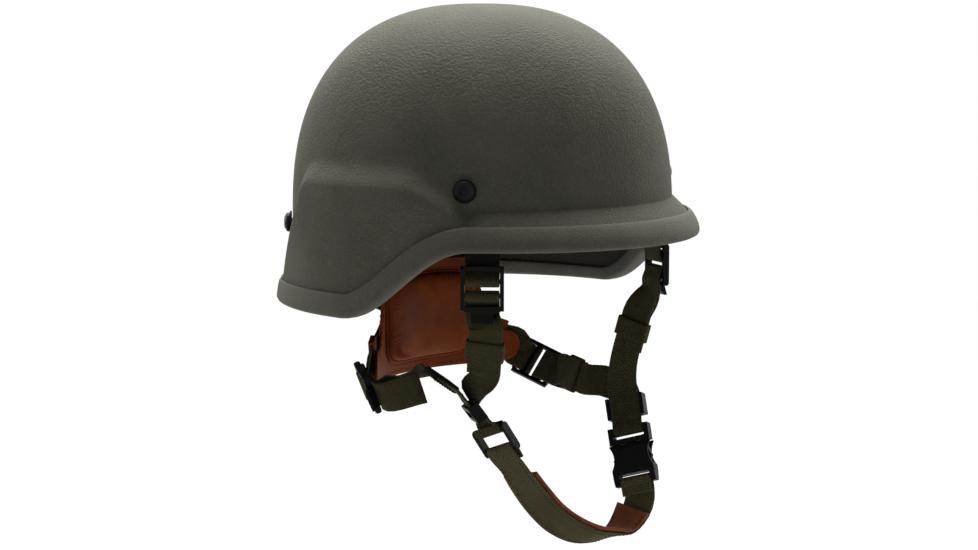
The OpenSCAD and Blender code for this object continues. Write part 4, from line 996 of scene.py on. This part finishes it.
def cushionRim(t, length, half, power=0.4):
    # a rounded rectangle: (length * cos^power, half * sin^power), each with its own sign
    c, s = cosd(t), sind(t)
    return length * np.sign(c) * np.abs(c) ** power, half * np.sign(s) * np.abs(s) ** power


def makeNapeCushion():
    # share runs from the middle to the seam; height = seam + loft * (1 - share^5)^0.5, drawn in by puckers
    # near the seam and by slow creases across the face
    look = dict(spokes=420, rounds=64, seam=1.2, puckers=84, pucker=0.35, crease=0.45, piping=0.75,
                pipingOut=0.9, stitchOut=2.9)
    half = nape["height"] / 2 - nape["border"]
    length = np.radians(nape["fullArc"]) * napeBack - nape["border"] * 0.4
    t = np.arange(look["spokes"]) * 360.0 / look["spokes"]
    x, z = cushionRim(t, length, half)
    seat = napeBack - webGap
    share = np.sin(np.radians(np.linspace(90, 90.0 / look["rounds"], look["rounds"])))[:, None]
    gridX, gridZ = share * x, share * z
    rng = np.random.default_rng(5)
    wave = np.zeros_like(gridX)
    for scale in (0.018, 0.03, 0.045):
        turn, phase = rng.uniform(0, 360), rng.uniform(0, 6.28)
        wander = 1.5 * np.sin(gridZ * scale * 3 + phase)
        run = gridX * cosd(turn) + gridZ * sind(turn)
        wave += np.sin(run * scale * 6.28 + phase + wander) * 0.25
    pull = np.exp(-((1 - share) / 0.1) ** 2)
    ripple = np.sin(np.radians(t * look["puckers"] + 40 * np.sin(np.radians(t * 7))))
    height = (look["seam"] + (nape["cushion"] - look["seam"]) * np.sqrt(np.maximum(0, 1 - share ** 5))
              + pull * (1 - pull) * 4 * look["pucker"] * ripple + look["crease"] * wave * (1 - share ** 6))
    height = np.minimum(height, nape["cushion"] + 0.5)
    face = napePoint(np.degrees(gridX / napeBack), gridZ, seat - height)
    back = np.stack([napePoint(np.degrees(x * k / napeBack), z * k, seat) for k in (0.5, 0.985)])
    skin = ringSkin(np.concatenate([back, face]))
    cushion = makePiece("napeCushion", skin, napeLeather, "nape_leather", "nape_cushion_pad")
    # piping: a thin roll that lies against the seam all the way round
    thin, a = look["piping"], np.arange(0, 360, 45)
    out = look["pipingOut"]
    path = np.stack(cushionRim(np.linspace(0, 360, 241)[:-1], length + out, half + out), 1)
    run = unit(np.roll(path, -1, 0) - np.roll(path, 1, 0))
    side = np.stack([run[:, 1], -run[:, 0]], 1)
    roll = path[:, None] + side[:, None] * (thin * cosd(a))[None, :, None]
    radius = napeBack - thin - thin * sind(a)[None]
    rings = napePoint(np.degrees(roll[:, :, 0] / napeBack), roll[:, :, 1], radius)
    makePiece("napePiping", ringSkin(rings, loop=True), napeLeather, "nape_leather")
    out = look["stitchOut"]
    sx, sz = cushionRim(np.linspace(0, 360, 361), length + out, half + out)
    turns = np.degrees(sx / napeBack)
    face = np.stack([cosd(turns), -sind(turns), 0 * sx], 1)
    seam = stitchMesh(napePoint(turns, sz, napeBack - 0.05), face, length=2.6, gap=1.0, thread=0.3)
    makePiece("napeCushionStitching", seam, leatherThread, "nape_leather")


makeNapeBacking()
makeNapeCushion()
print("nape pad made")

# the suspension hangs level with the four bolts, so it has its own leaning axes
insideBolts = [toWorld(f, [0, 0, -cradleDepth]) for f in boltFrames]
drop, run = insideBolts[0][2] - insideBolts[2][2], insideBolts[0][0] - insideBolts[2][0]
lean = float(np.degrees(np.arctan2(drop, run)))
hubLevel = insideBolts[0][2] - insideBolts[0][0] * np.tan(np.radians(lean))
hubAxes = np.array([[cosd(lean), 0, sind(lean)], [0, 1, 0], [-sind(lean), 0, cosd(lean)]])
hubOrigin = np.array([0, 0, hubLevel])
band = dict(length=92.0, side=79.0, height=38.0, lift=5.0, thick=4.0, cradleHeight=25.0, crownWidth=14.0,
            crownThick=1.2, crownTurns=(20, 90, 162, 198, 270, 340), ring=28.0, cord=4.0, gap=24.0,
            cradleSeam=10.6, crownSeam=5.4)


def fromHub(p):
    # leaning axes to the frame's
    return hubOrigin + np.asarray(p) @ hubAxes


def toHub(p):
    # the frame's axes to the leaning ones
    return (np.asarray(p) - hubOrigin) @ hubAxes.T


frontPost, rearPost = toHub(insideBolts[0]), toHub(insideBolts[2])
frontPostTurn, rearPostTurn = [float(np.degrees(np.arctan2(p[1], p[0]))) for p in (frontPost, rearPost)]
frontOut, rearOut = boltFrames[0][3] @ hubAxes.T, boltFrames[2][3] @ hubAxes.T
crownOffset = webThick / 2 + band["crownThick"] / 2 + 1.2
bandOffset = crownOffset + band["crownThick"] / 2 + webGap + 0.7


def headOval(a):
    # the headband's inner oval
    return oval(band["length"], band["side"], band["length"], a)


def peak(a, centre):
    # 1 near a post, 0 from 24 degrees beside it
    return 1 - smooth((np.abs(a - centre) - 5) / 19)


def toPlane(post, out, a):
    # radius to the plane through a post: (post . out) / (direction . out)
    return (post[0] * out[0] + post[1] * out[1]) / (cosd(a) * out[0] + sind(a) * out[1])


def cradleRadius(b):
    # free oval, drawn out to the plane of each post near it
    free = headOval(b) + bandOffset + band["thick"]
    front, rear = peak(b, frontPostTurn), peak(b, rearPostTurn)
    return (free + np.where(front > 0, front * (toPlane(frontPost, frontOut, b) - free), 0)
            + np.where(rear > 0, rear * (toPlane(rearPost, rearOut, b) - free), 0))


def cradleFace(b):
    # outward direction, turned to the post's own near each post
    front, rear = peak(b, frontPostTurn)[..., None], peak(b, rearPostTurn)[..., None]
    return unit(aim(b) * (1 - front - rear) + frontOut * front + rearOut * rear)


def makeCradleBand():
    # a webbing's section carried round the cradle, worked out for the left side and mirrored to the right
    a = np.arange(0, 360, 1.5)
    b = np.where(a > 180, 360 - a, a)
    flip = np.where(a > 180, -1.0, 1.0)[:, None]

    def ring(turn):
        # direction * radius
        return aim(turn) * cradleRadius(turn)[:, None]

    p, run = ring(b), unit(ring(b + 1) - ring(b - 1))
    across = unit(np.cross(run, cradleFace(b)))
    out = np.cross(across, run)
    section = bandSection(band["cradleHeight"], webThick, flat=15)
    rings = carried(p, across, out, section)
    rings[..., 1] *= flip
    verts, faces, uv = ringSkin(rings, section, distances(np.concatenate([p, p[:1]])), loop=True)
    makePiece("cradleBand", (fromHub(verts), faces, uv), oliveWeb, "olive_webbing", "cradle_band")
    rows = []
    for offset in (-band["cradleSeam"], band["cradleSeam"]):
        q, face = p + across * offset - out * sewn, -out
        q[:, 1:2] *= flip
        face[:, 1:2] *= flip
        rows.append(stitchMesh(fromHub(q), face @ hubAxes, length=2.6, gap=1.2, thread=0.26))
    makePiece("cradleStitching", join(rows), oliveThread, "olive_webbing")


def crownRoute(a):
    # up the band, over in a full curve (reach * cos^0.85, rise * sin^0.85), and round the cord
    foot = float(cradleRadius(np.array(360.0 - a if a > 180 else float(a)))) - crownOffset
    sag = band["ring"] - np.sqrt(band["ring"] ** 2 - (band["crownWidth"] / 2) ** 2)
    turn = band["cord"] / 2 + webGap + sag / 2 + band["crownThick"] / 2
    over, low, full = band["ring"] - sag / 2, band["cradleHeight"] / 2 - 4, 0.85
    top = shellSizes["domeLevel"] + shellSizes["domeRise"] - shellSizes["wall"] - band["gap"] - hubLevel
    reach, rise = foot - over, top + turn - low

    def stop(x, z, outX, outZ):
        # x outward and z up, with a face that looks outX outward and outZ up
        return station(aim(a) * x + np.array([0, 0, z]), aim(a) * outX + np.array([0, 0, outZ]))

    stops = [stop(foot, 1 - band["cradleHeight"] / 2, 1, 0)]
    for t in np.minimum(np.arange(0, 91, 7.5), 89.999):
        outX, outZ = max(cosd(t), 0) ** (2 - full) / reach, sind(t) ** (2 - full) / rise
        stops.append(stop(over + reach * cosd(t) ** full, low + rise * sind(t) ** full, outX, outZ))
    for t in range(120, 331, 30):
        stops.append(stop(over + turn * cosd(t), top + turn * sind(t), cosd(t), sind(t)))
    route = curveThrough(stops, 4)
    return np.concatenate([fromHub(route[:, :3]), route[:, 3:] @ hubAxes], 1), top


def makeCrown():
    # the straps over the head and the laid cord that gathers them: three strands,
    # radius = cord / 2 * (0.84 + 0.16 * |cos(1.5 * (turn - twist))|)
    parts, rows = [], []
    for turn in band["crownTurns"]:
        route, top = crownRoute(turn)
        parts.append(strapMesh(route, band["crownWidth"], band["crownThick"]))
        for offset in (-band["crownSeam"], band["crownSeam"]):
            line = alongStrap(route, 24, 26, offset, -band["crownThick"] / 2 - 0.05)
            rows.append(stitchMesh(*line, length=2.4, gap=1.0, thread=0.24))
    makePiece("crownStraps", join(parts), oliveWeb, "olive_webbing", "crown_straps")
    makePiece("crownStitching", join(rows), oliveThread, "olive_webbing")
    turns, spin = np.meshgrid(np.arange(0, 360, 1.0), np.arange(0, 360, 20.0), indexing="ij")
    radius = band["cord"] / 2 * (0.84 + 0.16 * np.abs(cosd(1.5 * (spin - turns * 16))))
    reach = band["ring"] + radius * cosd(spin)
    rings = np.stack([reach * cosd(turns), reach * sind(turns), top + radius * sind(spin)], axis=-1)
    makePiece("crownCord", ringSkin(fromHub(rings), loop=True), cordCloth, "cord", "crown_cord")


def makeHeadband():
    # a leather ring: a flat strip with round edges, a soft inner belly and creases near the edges
    look = dict(belly=0.25, crease=0.12, creases=37, seamInset=3.5)
    a = np.arange(0, 360, 1.5)
    half, r = band["height"] / 2, band["thick"] / 2
    s, bend = np.linspace(-1, 1, 25), np.linspace(75, -75, 5)
    side = s * (half - r)
    z = np.concatenate([side, half - r + r * cosd(bend), -side, -half + r - r * cosd(bend)])
    belly = 1 - look["belly"] + look["belly"] * (1 - s ** 4)
    depth = np.concatenate([np.full(25, r), r * sind(bend), -r * belly, -r * sind(bend)])
    near = np.exp(-((np.abs(z) - half + 5) / 2.5) ** 2)[None]
    creases = look["crease"] * np.sin(np.radians(a * look["creases"]))[:, None] * near
    radius = headOval(a)[:, None] + r + depth[None] + creases * (depth < 0)
    height = np.broadcast_to(band["lift"] + z, radius.shape)
    rings = np.stack([radius * cosd(a)[:, None], radius * sind(a)[:, None], height], axis=-1)
    makePiece("headband", ringSkin(fromHub(rings), loop=True), bandLeather, "band_leather", "headband")
    rows = []
    for seam in (-half + look["seamInset"], half - look["seamInset"]):
        for radius, out in ((headOval(a) + 0.42, -1), (headOval(a) + band["thick"] + 0.05, 1)):
            line = np.stack([radius * cosd(a), radius * sind(a), np.full(len(a), band["lift"] + seam)], 1)
            face = (aim(a) * out) @ hubAxes
            rows.append(stitchMesh(fromHub(line), face, length=3.0, gap=1.2, thread=0.32))
    makePiece("headbandStitching", join(rows), leatherThread, "band_leather")


makeCradleBand()
makeCrown()
makeHeadband()
print("suspension made")


def dressCopy(name, node, material, bevel):
    # a merged copy of a hard piece with its flat faces joined again and its edges rounded
    look = dict(merge=2e-6, flat=0.6, sharp=30, segments=3)
    work = bmesh.new()
    work.from_mesh(nodes[node].data)
    bmesh.ops.remove_doubles(work, verts=work.verts, dist=look["merge"])
    bmesh.ops.dissolve_degenerate(work, edges=work.edges, dist=look["merge"])
    bmesh.ops.dissolve_limit(work, angle_limit=np.radians(look["flat"]), verts=work.verts, edges=work.edges)
    bmesh.ops.recalc_face_normals(work, faces=work.faces)
    mesh = bpy.data.meshes.new(name)
    work.to_mesh(mesh)
    work.free()
    mesh.materials.clear()
    obj = showMesh(name, mesh, material, bodyOf[node], [node])
    mesh.set_sharp_from_angle(angle=np.radians(look["sharp"]))
    edge = obj.modifiers.new("edge", "BEVEL")
    edge.width = bevel * metres
    edge.segments = look["segments"]
    edge.limit_method = "ANGLE"
    edge.angle_limit = np.radians(look["sharp"])
    edge.miter_outer = "MITER_ARC"
    shading = obj.modifiers.new("shading", "WEIGHTED_NORMAL")
    shading.keep_sharp = False


# piece, node, material and the radius of its edges, in millimetres
hardPieces = [
    ("domeBolts", "bolts", boltBlack, 0.35), ("boltWashers", "bolt_washers", washerRubber, 0.25),
    ("postNuts", "post_nuts", postSteel, 0.3), ("headbandClips", "headband_clips", clipPlastic, 0.25),
    ("frontLockLeft", "front_lock_left", blackPlastic, 0.5),
    ("frontLockRight", "front_lock_right", blackPlastic, 0.5),
    ("rearLockLeft", "rear_lock_left", blackPlastic, 0.5),
    ("rearLockRight", "rear_lock_right", blackPlastic, 0.5),
    ("glideLeft", "junction_glide_left", blackPlastic, 0.45),
    ("glideRight", "junction_glide_right", blackPlastic, 0.45),
    ("bucklePlug", "buckle_plug", blackPlastic, 0.4), ("prongFront", "prong_front", blackPlastic, 0.3),
    ("prongRear", "prong_rear", blackPlastic, 0.3), ("chinSlider", "chin_slider", blackPlastic, 0.4),
    ("buckleSocket", "buckle_socket", blackPlastic, 0.6), ("napeLoops", "nape_loops", napeLeather, 0.3)]
for name, node, material, bevel in hardPieces:
    dressCopy(name, node, material, bevel)


def gripRibs(name, f):
    # three low ribs across the thumb tab, each a rounded bar whose ends taper by (1 - s^8)^0.5
    look = dict(shares=(0.42, 0.64, 0.86), half=6.0, wide=0.45, high=0.38, tab=6.6, slope=2)
    s, a = np.linspace(-1, 1, 15)[:, None], np.arange(0, 360, 30)
    taper = np.sqrt(np.maximum(0.02, 1 - s ** 8))
    parts = []
    for share in look["shares"]:
        y = -halfLock + 0.5 - (look["tab"] + 0.5) * share + look["wide"] * taper * cosd(a)
        z = webSizes["lockThick"] / 2 + look["slope"] * share + look["high"] * taper * sind(a)
        parts.append(ringSkin(toWorld(f, np.stack(np.broadcast_arrays(s * look["half"], y, z), axis=-1))))
    makePiece(name, join(parts), blackPlastic, "harness_plastic")


for side, tag in sides:
    for label in ("frontLock", "rearLock"):
        gripRibs(label + "Ribs" + tag, hung(label, side))
print("hard pieces made")


def seenRays(tree):
    # 1 for camera, glossy and transmission rays, which see the white background
    path = addNode(tree, "LightPath").outputs
    first = math(tree, "MAXIMUM", path["Is Camera Ray"], path["Is Glossy Ray"])
    return math(tree, "MAXIMUM", first, path["Is Transmission Ray"])


def makeStage():
    # a pale floor whose own glow takes over away from the object, a low even room light and three lamps
    look = dict(level=-0.243, size=14.0, white=0.6, shareNear=0.88, nearTo=0.5, farFrom=1.6, room=0.11,
                aimAt=(0, 0, -0.03))
    s, z, white = look["size"], look["level"], (1, 1, 1, 1)
    mesh = bpy.data.meshes.new("floor")
    mesh.from_pydata([(-s, -s, z), (s, -s, z), (s, s, z), (-s, s, z)], [], [(0, 1, 2, 3)])
    floor = addObject("floor", mesh)
    material, tree, shader = startMaterial("paleFloor", 0.9, specular=0.1)
    feed(tree, shader, {"Base Color": (look["white"], look["white"], look["white"], 1)})
    glow = addNode(tree, "Emission", {"Color": white})
    away = addNode(tree, "VectorMath", {0: place(tree)}, operation="LENGTH").outputs["Value"]
    share = spread(tree, away, look["nearTo"], look["farFrom"], look["shareNear"], 1.0)
    shown = math(tree, "MULTIPLY", seenRays(tree), share)
    blend = addNode(tree, "MixShader", {0: shown, 1: shader.outputs[0], 2: glow.outputs[0]})
    feed(tree, tree.nodes["Material Output"], {"Surface": blend.outputs[0]})
    mesh.materials.append(material)

    world = bpy.data.worlds.new("studio")
    bpy.context.scene.world = world
    world.use_nodes = True
    tree = world.node_tree
    tree.nodes.clear()
    room = addNode(tree, "Background", {"Color": white, "Strength": look["room"]})
    backdrop = addNode(tree, "Background", {"Color": white, "Strength": 1.0})
    blend = addNode(tree, "MixShader", {0: seenRays(tree), 1: room.outputs[0], 2: backdrop.outputs[0]})
    addNode(tree, "OutputWorld", {"Surface": blend.outputs[0]})

    # place, width and power of each lamp: above and behind, and at both sides behind
    lamps = [("overheadLamp", (-0.45, 0.5, 1.45), 1.6, 80.0), ("leftLamp", (-1.5, -0.28, 0.45), 1.0, 7.0),
             ("rightLamp", (0.44, 1.46, 0.45), 1.0, 10.0)]
    for name, spot, size, power in lamps:
        light = bpy.data.lights.new(name, "AREA")
        light.shape = "DISK"
        light.size = size
        light.energy = power
        lamp = addObject(name, light)
        lamp.location = spot
        lamp.rotation_euler = (Vector(look["aimAt"]) - Vector(spot)).to_track_quat("-Z", "Y").to_euler()


def makeCamera():
    # place = sideways * across + upward * up + back * distance, looking along -back
    look = dict(turn=42.0, rise=7.2, distance=1500.0, across=4.8, up=-30.4, focal=2400.0, pictureWide=978,
                sensor=36.0)
    a, e = look["turn"], look["rise"]
    sideways = np.array([cosd(a), sind(a), 0])
    back = np.array([sind(a) * cosd(e), -cosd(a) * cosd(e), sind(e)])
    upward = np.cross(back, sideways)
    spot = (sideways * look["across"] + upward * look["up"] + back * look["distance"]) * metres
    data = bpy.data.cameras.new("camera")
    data.sensor_width = look["sensor"]
    data.lens = look["focal"] / look["pictureWide"] * look["sensor"]
    data.clip_end = 50
    camera = addObject("camera", data)
    rows = np.stack([sideways, upward, back], 1)
    camera.matrix_world = Matrix([[*map(float, rows[k]), float(spot[k])] for k in range(3)] + [[0, 0, 0, 1]])
    bpy.context.scene.camera = camera


makeStage()
makeCamera()
bpy.context.scene.view_settings.view_transform = "Standard"
print("stage made")
